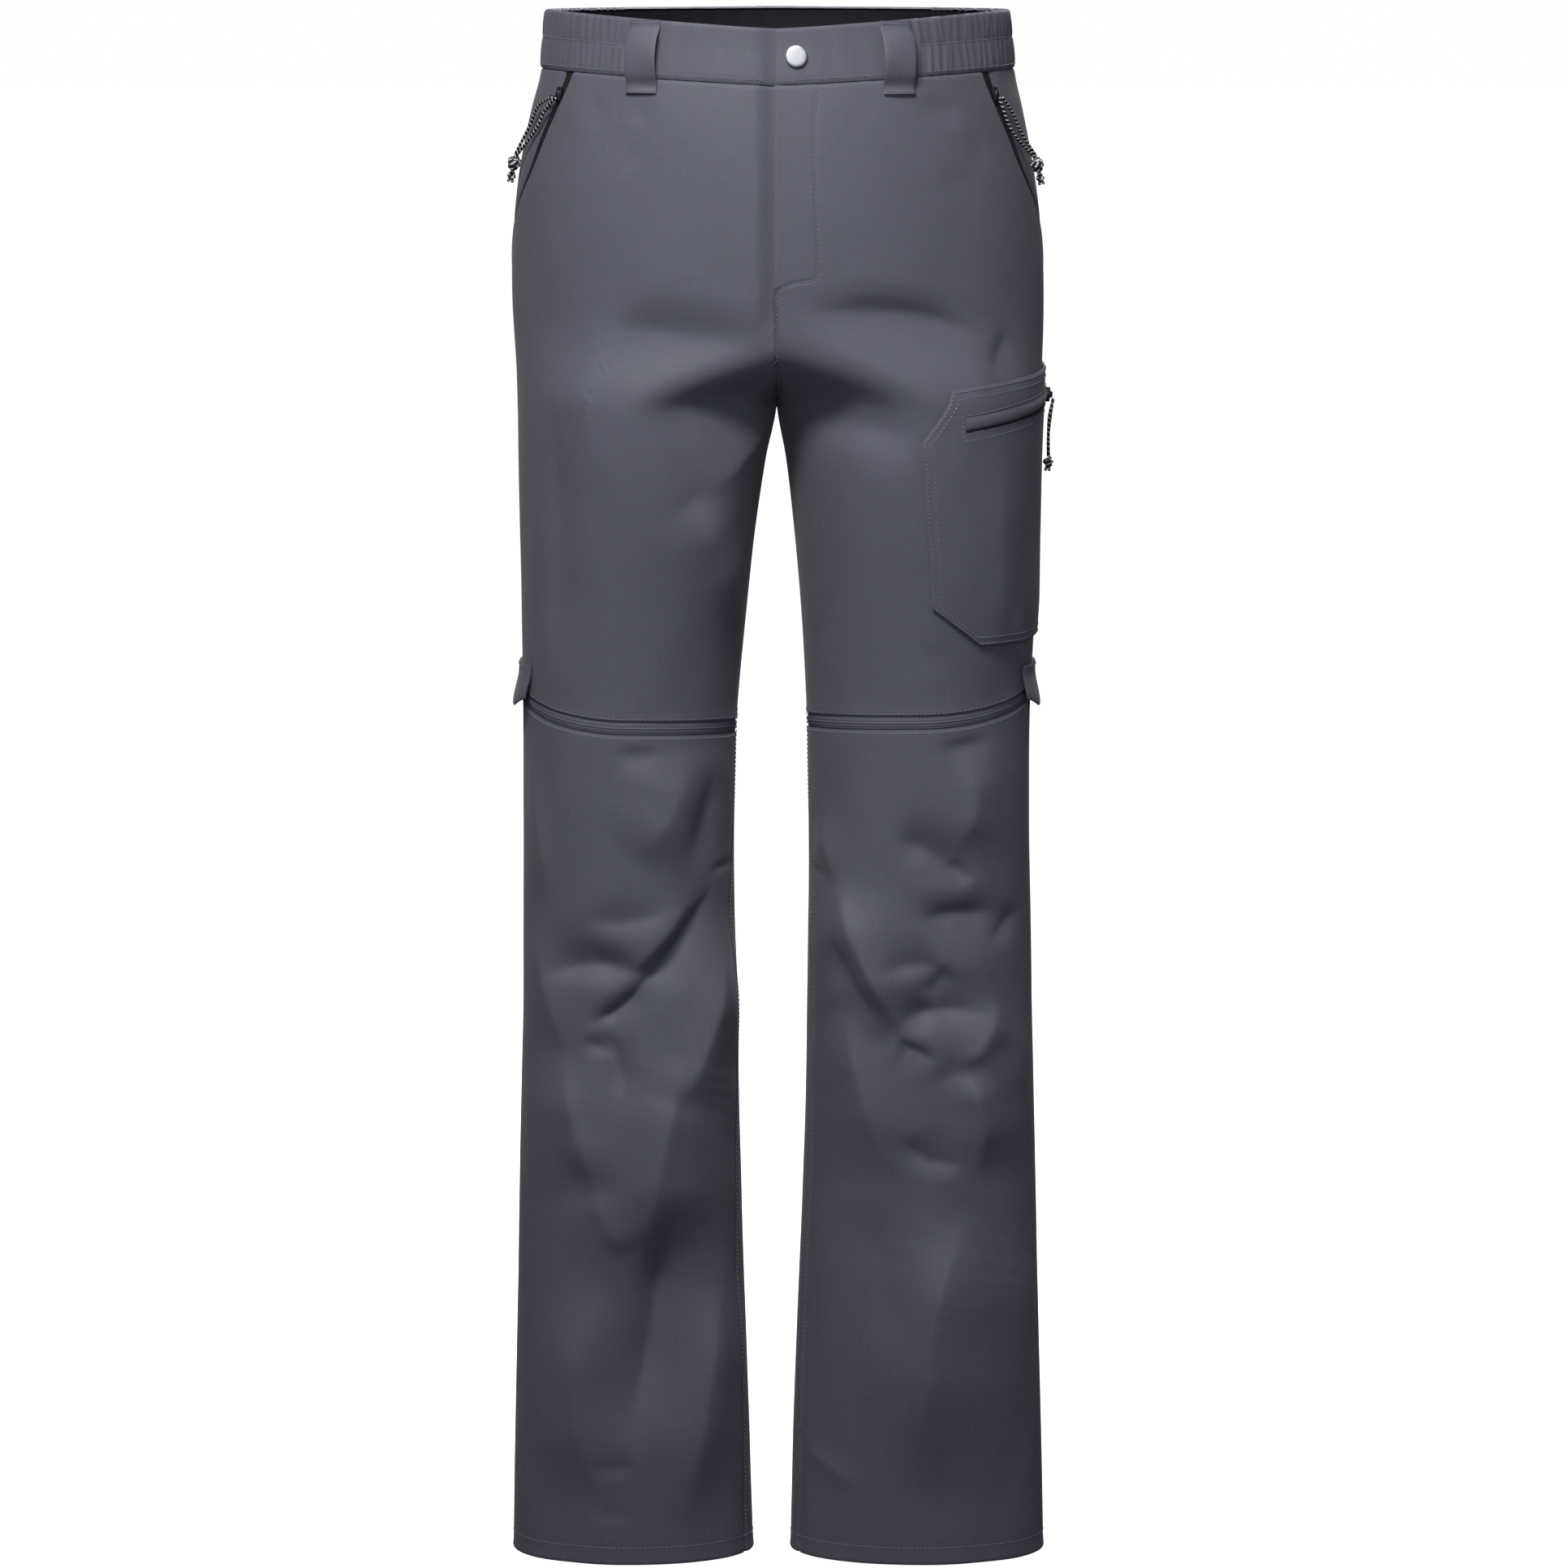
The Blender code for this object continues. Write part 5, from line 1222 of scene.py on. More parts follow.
@dataclass(frozen=True)
class Fly:
    """The fly's stitching and the centre seam below it."""

    finishes: Finishes
    sewing: Sewing

    def sew(self) -> None:
        """The curved fly stitch, the bar tack at its foot and the centre seam's row."""
        theta, z = angles_from_x(Leg.LEFT, *zip(*FLY_STITCH))
        self.sewing.row("fly", Leg.LEFT, fill_in(theta, 90), fill_in(z, 90))
        theta, z = angles_from_x(Leg.LEFT, [1.4, 1.2, 1.2, 1.2], [-171.0, -190.0, -215.0, -244.0])
        self.sewing.row("fly", Leg.LEFT, fill_in(theta), fill_in(z))
        tack = StitchStyle(pitch=0.0011, cover=0.98, radius=0.00042)
        theta, z = angles_from_x(Leg.LEFT, [0.9, 4.6], [-166.8, -165.2])
        self.sewing.row("fly", Leg.LEFT, fill_in(theta, 9), fill_in(z, 9), 0.0002, tack)


@dataclass(frozen=True)
class Waistband:
    """Waistband: two plain fronts with the overlap, two gathered sides and a plain back."""

    finishes: Finishes
    sewing: Sewing
    proud: float = 0.0006
    wall: float = 0.0024
    gathers: int = 42
    gather_height: float = 0.0010
    loop_left: float = 29.6
    loop_right: float = 33.3
    elastic_end: float = 140.0
    underlap: float = 0.032
    recess: float = 0.0046
    middle_row: float = 0.47

    def loop_angle(self, leg: Leg) -> float:
        """Angle of the front belt loop, where the elastic starts."""
        return self.loop_left if leg is Leg.LEFT else self.loop_right

    def stretch(
        self, name: str, leg: Leg, theta: np.ndarray, out: Callable, node: str,
    ) -> None:
        """One stretch of the band.

        Args:
            name: The piece's name.
            leg: The leg that the angles are measured round.
            theta: Column angles.
            out: Distance out, worked out from the grid's angles, heights and shares down.
            node: The CAD node that it stands for.
        """
        down = spread(0.0385, 0.0021, (0.35, 0.8, 1.5, 2.4))[:, None]
        theta = theta[None, :] + 0.0 * down
        z = (1 - down) * FORM.waist_top(theta) + down * FORM.waist_seam(theta)
        from_top = down * 0.0385
        edge = -0.0011 * bump(from_top, 0.0010) - 0.0009 * bump(0.0385 - from_top, 0.0012)
        dent = -0.0003 * bump(0.0385 - from_top - 0.0026, 0.0008)
        outer = surface(leg, theta, z, self.proud + out(theta, z, down) + edge + dent)
        side = leg.value if theta[0, -1] > theta[0, 0] else -leg.value
        uv = np.stack([np.radians(theta) * 0.14, z], axis=-1)
        mesh = wall_mesh(name, outer, self.wall, uv, side)
        # Material 1, on the band's inner faces, is painted shade.
        piece = Piece.from_mesh(mesh, [self.finishes.cloth, self.finishes.lining], Slot.CLOTH)
        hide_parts(node)
        LOG.info("%s: %d faces", name, len(mesh.polygons))

    def crown(self, down: np.ndarray) -> np.ndarray:
        """The band's slight roundness between its edges."""
        return 0.0005 * np.sin(np.pi * down)

    def add_fronts(self) -> None:
        """The two plain fronts. The left one laps over the right one."""
        left_start = float(FORM.angle_at(1, FORM.fly_shift, 0.0))
        columns = left_start + (self.loop_left - left_start) * spread(0.083, 0.0025)

        def left_out(theta: np.ndarray, z: np.ndarray, down: np.ndarray) -> np.ndarray:
            from_edge = np.radians(theta - left_start) * 0.165
            fold = 0.0007 * bump(from_edge, 0.010) - 0.0007 * bump(from_edge, 0.0007)
            return self.crown(down) + fold + 0.0002 * np.sin(theta * 0.9 + 60 * z)

        self.stretch("band_front_left", Leg.LEFT, columns, left_out, "waistband_front_left")
        right_start = float(FORM.angle_at(-1, self.underlap, 0.0))
        columns = right_start + (self.loop_right - right_start) * spread(0.125, 0.0025)

        def right_out(theta: np.ndarray, z: np.ndarray, down: np.ndarray) -> np.ndarray:
            x = FORM.point(-1, theta, z)[..., 0]
            under = smooth_step(x, -FORM.fly_step_outer, -FORM.fly_step_inner)
            return self.crown(down) - self.recess * under + 0.0002 * np.sin(theta + 50 * z)

        self.stretch("band_front_right", Leg.RIGHT, columns, right_out, "waistband_front_right")

    def add_back(self) -> None:
        """The plain back."""
        columns = np.linspace(self.elastic_end, 360 - self.elastic_end, 72)
        self.stretch("band_back", Leg.LEFT, columns,
                     lambda theta, z, down: self.crown(down) + 0.0002 * np.sin(theta + 50 * z),
                     "waistband_back")

    def add_elastic(self, leg: Leg) -> None:
        """One gathered side, with uneven gathers above and below a middle row of stitches."""
        start, end = self.loop_angle(leg), self.elastic_end
        draw = np.random.default_rng(31 if leg is Leg.LEFT else 17)
        pitch = (end - start) / self.gathers
        rows = []
        for low, high in ((0.0, self.middle_row), (self.middle_row, 1.0)):
            centres = start + pitch * (np.arange(self.gathers) + 0.5)
            centres = centres + draw.uniform(-0.28, 0.28, self.gathers) * pitch
            rows.append((low, high, centres, draw.uniform(0.35, 1.0, self.gathers),
                         draw.uniform(-0.5, 0.5, self.gathers),
                         draw.uniform(0.22, 0.36, self.gathers) * pitch))

        def out(theta: np.ndarray, z: np.ndarray, down: np.ndarray) -> np.ndarray:
            total = np.zeros(theta.shape)
            for low, high, centres, sizes, leans, widths in rows:
                t = np.clip((down - low) / (high - low), 0.0, 1.0)
                reach = np.sin(np.pi * t) ** 0.3 * ((down >= low) & (down <= high))
                for centre, size, lean, width in zip(centres, sizes, leans, widths):
                    off = theta - centre - lean * pitch * (t - 0.5)
                    total += size * reach * bump(off, width)
            ends = smooth_step(theta, start + 1.0, start + 5.0)
            ends = ends * (1 - smooth_step(theta, end - 5.0, end - 1.5))
            stitched = -0.0002 * bump((down - self.middle_row) * 0.0385, 0.0010)
            puff = 0.0002 * np.abs(np.sin(np.pi * np.clip(down / self.middle_row, 0, 1)))
            return (total * self.gather_height + puff) * ends + stitched - 0.0004 * ends

        columns = np.linspace(start, end, 300)
        self.stretch(f"band_elastic_{leg.word}", leg, columns, out,
                     f"waistband_elastic_{leg.word}")
        middle = np.linspace(start + 2.5, end - 2.0, 200)
        top, seam = FORM.waist_top(middle), FORM.waist_seam(middle)
        height = top + (seam - top) * self.middle_row
        self.sewing.row("waistband", leg, middle, height, self.proud - 0.0003)

    def sew(self) -> None:
        """The row of stitches just above the waist seam, all the way round."""
        for leg in Leg:
            first = -0.3 if leg is Leg.LEFT else 3.2
            theta = np.linspace(first, 180.0, 260)
            self.sewing.row("waistband", leg, theta, FORM.waist_seam(theta) + 0.0027,
                            self.proud + 0.0001)


class LoopStep(NamedTuple):
    """Belt loop: share of its height from the top, and its inner face's lift in mm."""

    share: float
    lift: float


LOOP_STEPS = [
    LoopStep(0.00, 1.4),
    LoopStep(0.10, 1.4),
    LoopStep(0.24, 5.6),
    LoopStep(0.36, 7.0),
    LoopStep(0.62, 7.0),
    LoopStep(0.76, 5.0),
    LoopStep(0.90, 0.8),
    LoopStep(1.00, 0.8),
]


@dataclass(frozen=True)
class BeltLoop:
    """One belt loop: a folded strap sewn down above and below."""

    name: str
    leg: Leg
    angle: float
    band: str
    finishes: Finishes
    sewing: Sewing
    half_width: float = 0.0108
    wall: float = 0.0018
    tail: float = 0.0110

    def add(self) -> None:
        """Make the strap and its bar tacks."""
        side = self.leg.value
        middle = FORM.point(side, np.array(self.angle), np.array(0.0))
        ahead = FORM.point(side, np.array(self.angle + 1.0), np.array(0.0))
        degrees = 1.0 / float(np.linalg.norm(ahead - middle))
        across = (spread(2 * self.half_width, 0.0018, (0.25, 0.6, 1.2))[None, :] - 0.5) * 2
        down = np.linspace(0.0, 1.0, 46)[:, None]
        top = float(FORM.waist_top(self.angle)) - 0.0005
        bottom = float(FORM.waist_seam(self.angle)) - self.tail
        narrow = 1.0 + 0.012 * np.sin(2.2 * np.pi * down)
        theta = self.angle + across * narrow * self.half_width * degrees
        z = top + (bottom - top) * down + 0.0 * across
        lift = read_table(LOOP_STEPS, "share", "lift", down) * MM
        edge = 0.0006 * np.abs(across) ** 10
        out = lift + self.wall - edge + 0.0003 * np.sin(7 * down + 2 * across)
        outer = surface(self.leg, theta, z, out)
        uv = np.stack([np.radians(theta) * 0.14, z], axis=-1)
        mesh = wall_mesh(self.name.replace("belt_loop", "belt_strap"), outer, self.wall, uv, side)
        piece = Piece.from_mesh(mesh, [self.finishes.cloth, self.finishes.cloth], Slot.CLOTH)
        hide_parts(self.name)
        tack = StitchStyle(pitch=0.0013, cover=0.95, radius=0.00036)
        row = self.angle + np.linspace(-0.86, 0.86, 9) * self.half_width * degrees
        for share in (0.035, 0.955):
            lifted = float(read_table(LOOP_STEPS, "share", "lift", share)) * MM + self.wall
            self.sewing.row("belt_loops", self.leg, row, top + (bottom - top) * share, lifted,
                            tack)


class ZipCoil:
    """Rows of nylon coil along a closed zip."""

    @staticmethod
    def add(
        name: str, finishes: Finishes, route: np.ndarray, normals: np.ndarray,
        width: float = 0.0042, pitch: float = 0.0014, height: float = 0.0007,
    ) -> bpy.types.Object:
        """Small rounded ribs across a route, one for each turn of the coil.

        Args:
            name: The piece's name.
            finishes: The materials.
            route: Points along the zip's middle line.
            normals: Outward normals there.
            width: The coil's width.
            pitch: The distance between turns.
            height: How far the ribs stand up.

        Returns:
            The piece.
        """
        steps = np.linalg.norm(np.diff(route, axis=0), axis=1)
        length = np.concatenate([[0.0], np.cumsum(steps)])
        where = np.arange(0.5 * pitch, length[-1], pitch)

        def at(values: np.ndarray) -> np.ndarray:
            return np.stack([np.interp(where, length, values[:, k]) for k in range(3)], axis=1)

        tangents = np.gradient(route, axis=0)
        centres, along, up = at(route), at(tangents), at(normals)
        along /= np.linalg.norm(along, axis=1, keepdims=True)
        up /= np.linalg.norm(up, axis=1, keepdims=True)
        aside = np.cross(along, up)
        points, faces = [], []
        for number, (c, t, n, s) in enumerate(zip(centres, along, up, aside)):
            base = len(points)
            lean = t * pitch * 0.35
            shift = s * width * (0.06 if number % 2 else -0.06)
            for share, high in ((-0.5, 0.0), (-0.42, 0.8), (0.42, 0.8), (0.5, 0.0)):
                middle = c + shift + s * width * share + lean * share + n * height * high
                points.append(middle - t * pitch * 0.34)
                points.append(middle + n * height * 0.35)
                points.append(middle + t * pitch * 0.34)
            for k in range(3):
                for j in range(2):
                    a = base + 3 * k + j
                    faces.append((a, a + 3, a + 4, a + 1))
        mesh = Piece.mesh(name, np.array(points), faces)
        return Piece.from_mesh(mesh, [finishes.coil], Slot.TAPE)


@dataclass(frozen=True)
class KneeZip:
    """The zip round one leg, and the flap over its slider."""

    leg: Leg
    finishes: Finishes
    sewing: Sewing
    depth: float = 0.0006
    flap_start: float = 62.0
    flap_end: float = 118.0
    flap_top: float = -0.4320
    flap_bottom: float = -0.4640
    flap_lift: float = 0.0048
    flap_end_share: float = 0.72
    layer_gap: float = 0.0009
    flap_wall: float = 0.0016

    def add_tape(self) -> None:
        """The ring of tape, with a low ridge over the coil."""
        side = self.leg.value
        down = np.linspace(-1.0, 1.0, 33)[:, None]
        theta = np.linspace(-90.0, 270.0, 300)[:-1][None, :] + 0.0 * down
        z = FORM.knee_line(side, theta) - 0.5 * FORM.knee_open - down * 0.0078
        out = -self.depth + 0.0004 * bump(down, 0.22) + 0.0002 * np.cos(down * 24.0)
        out = out - 0.0009 * bump(np.abs(down) - 0.60, 0.10)
        outer = surface(self.leg, theta, z, out)
        uv = np.stack([np.radians(theta) * 0.085, z], axis=-1)
        name = f"knee_tape_{self.leg.word}"
        mesh = wall_mesh(name, outer, 0.0008, uv, side, closed=True)
        # Its inner faces take the near-black tape: painted shade.
        piece = Piece.from_mesh(mesh, [self.finishes.tape, self.finishes.dark_tape], Slot.TAPE)
        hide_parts(f"knee_zip_{self.leg.word}")

    def add_flap(self) -> None:
        """The flap, standing off at its lower edge."""
        across = spread(0.074, 0.002)[None, :]
        down = spread(0.031, 0.002)[:, None]
        theta = self.flap_start + (self.flap_end - self.flap_start) * across + 0.0 * down
        shape = np.sin(np.pi * across)
        z = self.flap_top + (self.flap_bottom - self.flap_top) * down * (
            self.flap_end_share + (1 - self.flap_end_share) * shape
        )
        out = self.layer_gap + self.flap_wall + self.flap_lift * smooth_step(down, 0.15, 1.0)
        rounding = 0.0006 * (bump(down * 31, 0.8) + bump((1 - down) * 31, 0.6))
        rounding = rounding + 0.0006 * (bump(across * 74, 0.7) + bump((1 - across) * 74, 0.7))
        outer = surface(self.leg, theta, z, out - rounding + 0.0004 * np.sin(theta * 0.21))
        uv = np.stack([np.radians(theta) * 0.085, z], axis=-1)
        name = f"zip_flap_{self.leg.word}"
        mesh = wall_mesh(name, outer, self.flap_wall, uv, self.leg.value)
        piece = Piece.from_mesh(mesh, [self.finishes.cloth, self.finishes.cloth], Slot.CLOTH)
        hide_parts(f"knee_flap_{self.leg.word}")
        row = np.linspace(self.flap_start + 1.5, self.flap_end - 1.5, 30)
        lifted = self.layer_gap + self.flap_wall
        self.sewing.row(f"knee_{self.leg.word}", self.leg, row, self.flap_top - 0.0020, lifted)


class CargoRow(NamedTuple):
    """Cargo pocket: its front edge's angle and height, and its rear edge's height."""

    share: float
    angle: float
    z: float
    rear_z: float


CARGO_ROWS = [
    CargoRow(0.00, 21.0, -237.0, -219.0),
    CargoRow(0.20, 3.5, -273.0, -258.0),
    CargoRow(0.84, 5.5, -387.0, -385.0),
    CargoRow(1.00, 29.5, -414.0, -412.0),
]


@dataclass(frozen=True)
class CargoPocket:
    """The patch pocket on the left thigh, with its slanted zip."""

    finishes: Finishes
    sewing: Sewing
    rear: float = 130.0
    layer_gap: float = 0.0009
    wall: float = 0.0018
    zip_start: float = 23.0
    zip_end: float = 93.0
    zip_top: float = -0.2555
    zip_rise: float = 0.0150
    zip_height: float = 0.0140

    @property
    def out(self) -> float:
        """Distance of the pocket's outer face from the surface."""
        return self.layer_gap + self.wall

    def edge(self, column: str, share: np.ndarray) -> np.ndarray:
        """One column of the pocket's table, with straight edges between its rows."""
        shares = [row.share for row in CARGO_ROWS]
        return np.interp(share, shares, [getattr(row, column) for row in CARGO_ROWS])

    def place(self, share: np.ndarray, u: np.ndarray) -> tuple[np.ndarray, np.ndarray]:
        """Angle and height at a share down and a share across."""
        theta = self.edge("angle", share) * (1 - u) + self.rear * u
        z = (self.edge("z", share) * (1 - u) + self.edge("rear_z", share) * u) * MM
        return theta, z

    def add_patch(self) -> None:
        """The patch, with its edges turned in and sewn down."""
        share = spread(0.178, 0.0026)
        corners = [row.share for row in CARGO_ROWS[1:-1]]
        for corner in corners:
            share[np.abs(share - corner).argmin()] = corner
        share = share[:, None]
        across = spread(0.185, 0.0026)[None, :]
        theta, z = self.place(share, across)
        from_edge = np.minimum(np.minimum(across, 1 - across) * 0.180,
                               np.minimum(share, 1 - share) * 0.176)
        puff = 0.0007 * smooth_step(from_edge, 0.002, 0.030)
        edge = -0.0008 * bump(from_edge, 0.0008) - 0.0003 * bump(from_edge - 0.0024, 0.0009)
        outer = surface(Leg.LEFT, theta, z, self.out + puff + edge)
        uv = np.stack([np.radians(theta) * 0.1, z], axis=-1)
        mesh = wall_mesh("cargo_patch", outer, 0.0014, uv, 1)
        piece = Piece.from_mesh(mesh, [self.finishes.cloth, self.finishes.inside], Slot.CLOTH)
        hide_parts("cargo_pocket")

    def add_zip(self) -> None:
        """The zip's opening: a folded welt above, the tape and coil below it."""
        u = spread(0.116, 0.0022)[None, :]
        theta = self.zip_start + (self.zip_end - self.zip_start) * u
        open_end = smooth_step(u, 0.25, 1.0)
        slit = 0.60 - 0.12 * open_end
        top = self.zip_top + self.zip_rise * u
        base_out = self.out + 0.0009
        down = np.linspace(0.0, 1.0, 9)[:, None]
        z = top - self.zip_height * slit * down
        lip = 0.0010 * smooth_step(down, 0.0, 0.5) + 0.0004 * open_end * down
        rounding = 0.0008 * bump(1 - down, 0.10) + 0.0005 * bump(down, 0.08)
        outer = surface(Leg.LEFT, theta + 0.0 * down, z, base_out + lip - rounding)
        uv = np.stack([np.radians(theta + 0.0 * down) * 0.1, z], axis=-1)
        mesh = wall_mesh("cargo_welt", outer, 0.0008, uv, 1)
        welt = Piece.from_mesh(mesh, [self.finishes.cloth, self.finishes.inside], Slot.CLOTH)
        down = np.linspace(0.0, 1.0, 7)[:, None]
        tape_top = top - self.zip_height * (slit - 0.10)
        low = self.zip_height * (0.22 + 0.30 * open_end)
        z = tape_top - low * down
        outer = surface(Leg.LEFT, theta + 0.0 * down, z, base_out - 0.0002)
        uv = np.stack([np.radians(theta + 0.0 * down) * 0.1, z], axis=-1)
        mesh = wall_mesh("cargo_tape", outer, 0.0005, uv, 1)
        # The tape under the welt is near black: painted shade in the slit.
        tape = Piece.from_mesh(mesh, [self.finishes.dark_tape, self.finishes.dark_tape],
                               Slot.TAPE)
        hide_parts("cargo_zip")
        row = np.linspace(self.zip_start + 34, self.zip_end, 120)
        share = (row - self.zip_start) / (self.zip_end - self.zip_start)
        height = self.zip_top + self.zip_rise * share - self.zip_height * 0.66
        route = surface(Leg.LEFT, row, height, base_out)
        ZipCoil.add("cargo_coil", self.finishes, route, FORM.normal(1, row, height),
                    width=0.0032, height=0.0005)

    def sew(self) -> None:
        """Two rows round the patch and one round the zip's opening."""
        for inset in (0.0020, 0.0066):
            a, b = inset / 0.180, inset / 0.176
            share = np.concatenate([
                np.full(60, b), np.linspace(b, 1 - b, 90), np.full(60, 1 - b),
                np.linspace(1 - b, b, 60),
            ])
            u = np.concatenate([
                np.linspace(1 - a, a, 60), np.full(90, a), np.linspace(a, 1 - a, 60),
                np.full(60, 1 - a),
            ])
            theta, z = self.place(share, u)
            self.sewing.row("cargo", Leg.LEFT, theta, z, self.out + 0.0001)
        span = self.zip_end - self.zip_start
        u = np.concatenate([np.linspace(1.0, -0.02, 60), np.full(12, -0.02),
                            np.linspace(-0.02, 1.0, 60)])
        down = np.concatenate([np.full(60, -0.0016), np.linspace(-0.0016, 0.0158, 12),
                               np.full(60, 0.0158)])
        z = self.zip_top + self.zip_rise * u - down
        self.sewing.row("cargo", Leg.LEFT, self.zip_start + span * u, z, self.out + 0.0007)


@dataclass(frozen=True)
class HandPocket:
    """The slanted hand pocket: its facing, its zip and its stitching."""

    leg: Leg
    finishes: Finishes
    sewing: Sewing
    bottom: float = -0.1780

    def add(self) -> None:
        """Make the facing and the zip tape."""
        leg = self.leg
        grid = PanelGrid(
            leg, lambda z: FORM.pocket_zip_edge(z) + 0.2,
            lambda z: FORM.side_seam + 0.0 * z, FORM.waist_seam,
            lambda theta: -0.1785 + 0.0 * theta, spread(0.046, 0.0022), spread(0.155, 0.0026),
            FORM.waist_seam_side, -0.1785,
        )
        dip = 0.0010 * (bump(grid.from_top, 0.0012) + bump(grid.from_end, 0.0013))
        dip = dip + 0.0012 * bump(grid.from_start, 0.0040)
        mesh = grid.wall(f"pocket_facing_{leg.word}", -dip - 0.0004, 0.0011)
        piece = Piece.from_mesh(mesh, [self.finishes.cloth, self.finishes.inside], Slot.CLOTH)
        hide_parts(f"hand_pocket_facing_{leg.word}")
        grid = PanelGrid(
            leg, lambda z: FORM.pocket_edge(z) - 1.0, lambda z: FORM.pocket_zip_edge(z) + 0.8,
            lambda theta: FORM.waist_seam(theta) - 0.0010, lambda theta: self.bottom + 0.0 * theta,
            np.linspace(0, 1, 9), spread(0.155, 0.003), FORM.waist_seam_side, self.bottom,
        )
        mesh = grid.wall(f"pocket_tape_{leg.word}", -0.0016, 0.0006)
        # The tape in the pocket's slit is near black: painted shade.
        tape = Piece.from_mesh(mesh, [self.finishes.dark_tape, self.finishes.dark_tape],
                               Slot.TAPE)
        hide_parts(f"hand_zip_{leg.word}")
        z = np.linspace(-0.046, -0.140, 120)
        theta = FORM.pocket_edge(z) + 0.45 * (FORM.pocket_zip_edge(z) - FORM.pocket_edge(z))
        route = surface(leg, theta, z, -0.0012)
        ZipCoil.add(f"pocket_coil_{leg.word}", self.finishes, route,
                    FORM.normal(leg.value, theta, z), width=0.0034, height=0.0007)


class CordPoint(NamedTuple):
    """A point on a cord: angle, height in mm and distance out in mm."""

    angle: float
    z: float
    out: float


class Strand(NamedTuple):
    """One strand of a pull cord: its leg, its middle points and the sliders' end first."""

    leg: Leg
    points: tuple


STRANDS = {
    "pull_strand_left_front": Strand(L, (
        CordPoint(61.5, -41.5, 4.6), CordPoint(63.5, -53.0, 3.4), CordPoint(67.2, -66.0, 2.4),
        CordPoint(76.3, -83.4, 5.9),
    )),
    "pull_strand_left_rear": Strand(L, (
        CordPoint(62.9, -41.5, 4.6), CordPoint(66.8, -50.0, 4.0), CordPoint(72.6, -67.0, 2.8),
        CordPoint(77.7, -82.2, 5.9),
    )),
    "pull_strand_right_front": Strand(R, (
        CordPoint(61.3, -41.5, 4.6), CordPoint(66.0, -50.0, 3.4), CordPoint(70.0, -63.0, 2.4),
        CordPoint(79.2, -82.3, 5.9),
    )),
    "pull_strand_right_rear": Strand(R, (
        CordPoint(63.2, -41.0, 4.6), CordPoint(70.0, -47.5, 4.4), CordPoint(75.4, -62.0, 3.0),
        CordPoint(80.6, -81.2, 5.9),
    )),
    "pull_strand_cargo_front": Strand(L, (
        CordPoint(90.2, -249.5, 9.2), CordPoint(90.4, -262.0, 7.2), CordPoint(91.6, -276.0, 7.4),
        CordPoint(93.0, -290.3, 8.4),
    )),
    "pull_strand_cargo_rear": Strand(L, (
        CordPoint(91.8, -249.5, 9.2), CordPoint(94.6, -261.0, 8.8), CordPoint(95.8, -276.0, 8.2),
        CordPoint(94.6, -290.3, 8.4),
    )),
}


class KnotPlace(NamedTuple):
    """Where a knot starts and ends, and whether it has a second knot below it."""

    leg: Leg
    start: CordPoint
    end: CordPoint
    long: bool


KNOTS = {
    "pull_knot_left": KnotPlace(L, CordPoint(77.0, -83.5, 5.9), CordPoint(79.6, -97.0, 5.4), True),
    "pull_knot_right": KnotPlace(R, CordPoint(79.9, -82.5, 5.9), CordPoint(83.0, -96.0, 5.4), True),
    "pull_knot_cargo": KnotPlace(
        L, CordPoint(93.8, -290.8, 8.4), CordPoint(93.9, -300.0, 8.0), False
    ),
}


def cord_place(leg: Leg, point: CordPoint) -> np.ndarray:
    """World position of a cord's point."""
    angle, z = np.array(point.angle), np.array(point.z * MM)
    base = FORM.point(leg.value, angle, z)
    return base + FORM.normal(leg.value, angle, z) * point.out * MM


def smooth_route(places: np.ndarray, count: int) -> np.ndarray:
    """Points along a smooth curve through a few places."""
    slopes = np.gradient(places, axis=0)
    keys = np.linspace(0.0, len(places) - 1.0, count)
    index = np.minimum(keys.astype(int), len(places) - 2)
    t = (keys - index)[:, None]
    return (
        places[index] * (1 + 2 * t) * (1 - t) ** 2
        + slopes[index] * t * (1 - t) ** 2
        + places[index + 1] * t * t * (3 - 2 * t)
        + slopes[index + 1] * t * t * (t - 1)
    )


def tube_mesh(name: str, route: np.ndarray, radius: float, sides: int = 10) -> bpy.types.Mesh:
    """Round closed tube along a route, with UV as turns round it and metres along it."""
    tangents = np.gradient(route, axis=0)
    tangents /= np.linalg.norm(tangents, axis=1, keepdims=True)
    aside = np.cross(tangents[0], [0.3, 0.9, 0.2])
    steps = np.linalg.norm(np.diff(route, axis=0), axis=1)
    length = np.concatenate([[0.0], np.cumsum(steps)])
    points, uv = [], []
    turns = np.linspace(0.0, 1.0, sides + 1)
    for place, tangent, along in zip(route, tangents, length):
        aside = aside - tangent * float(np.dot(aside, tangent))
        aside = aside / np.linalg.norm(aside)
        third = np.cross(tangent, aside)
        for turn in turns:
            angle = 2 * math.pi * turn
            points.append(place + radius * (math.cos(angle) * aside + math.sin(angle) * third))
            uv.append((turn, along))
    ring = sides + 1
    faces = []
    for i in range(len(route) - 1):
        for k in range(sides):
            a = i * ring + k
            faces.append((a, a + 1, a + 1 + ring, a + ring))
    last = (len(route) - 1) * ring
    faces.append(tuple(reversed(range(sides))))
    faces.append(tuple(range(last, last + sides)))
    mesh = Piece.mesh(name, np.array(points), faces, np.array(uv), smooth=70.0)
    return mesh


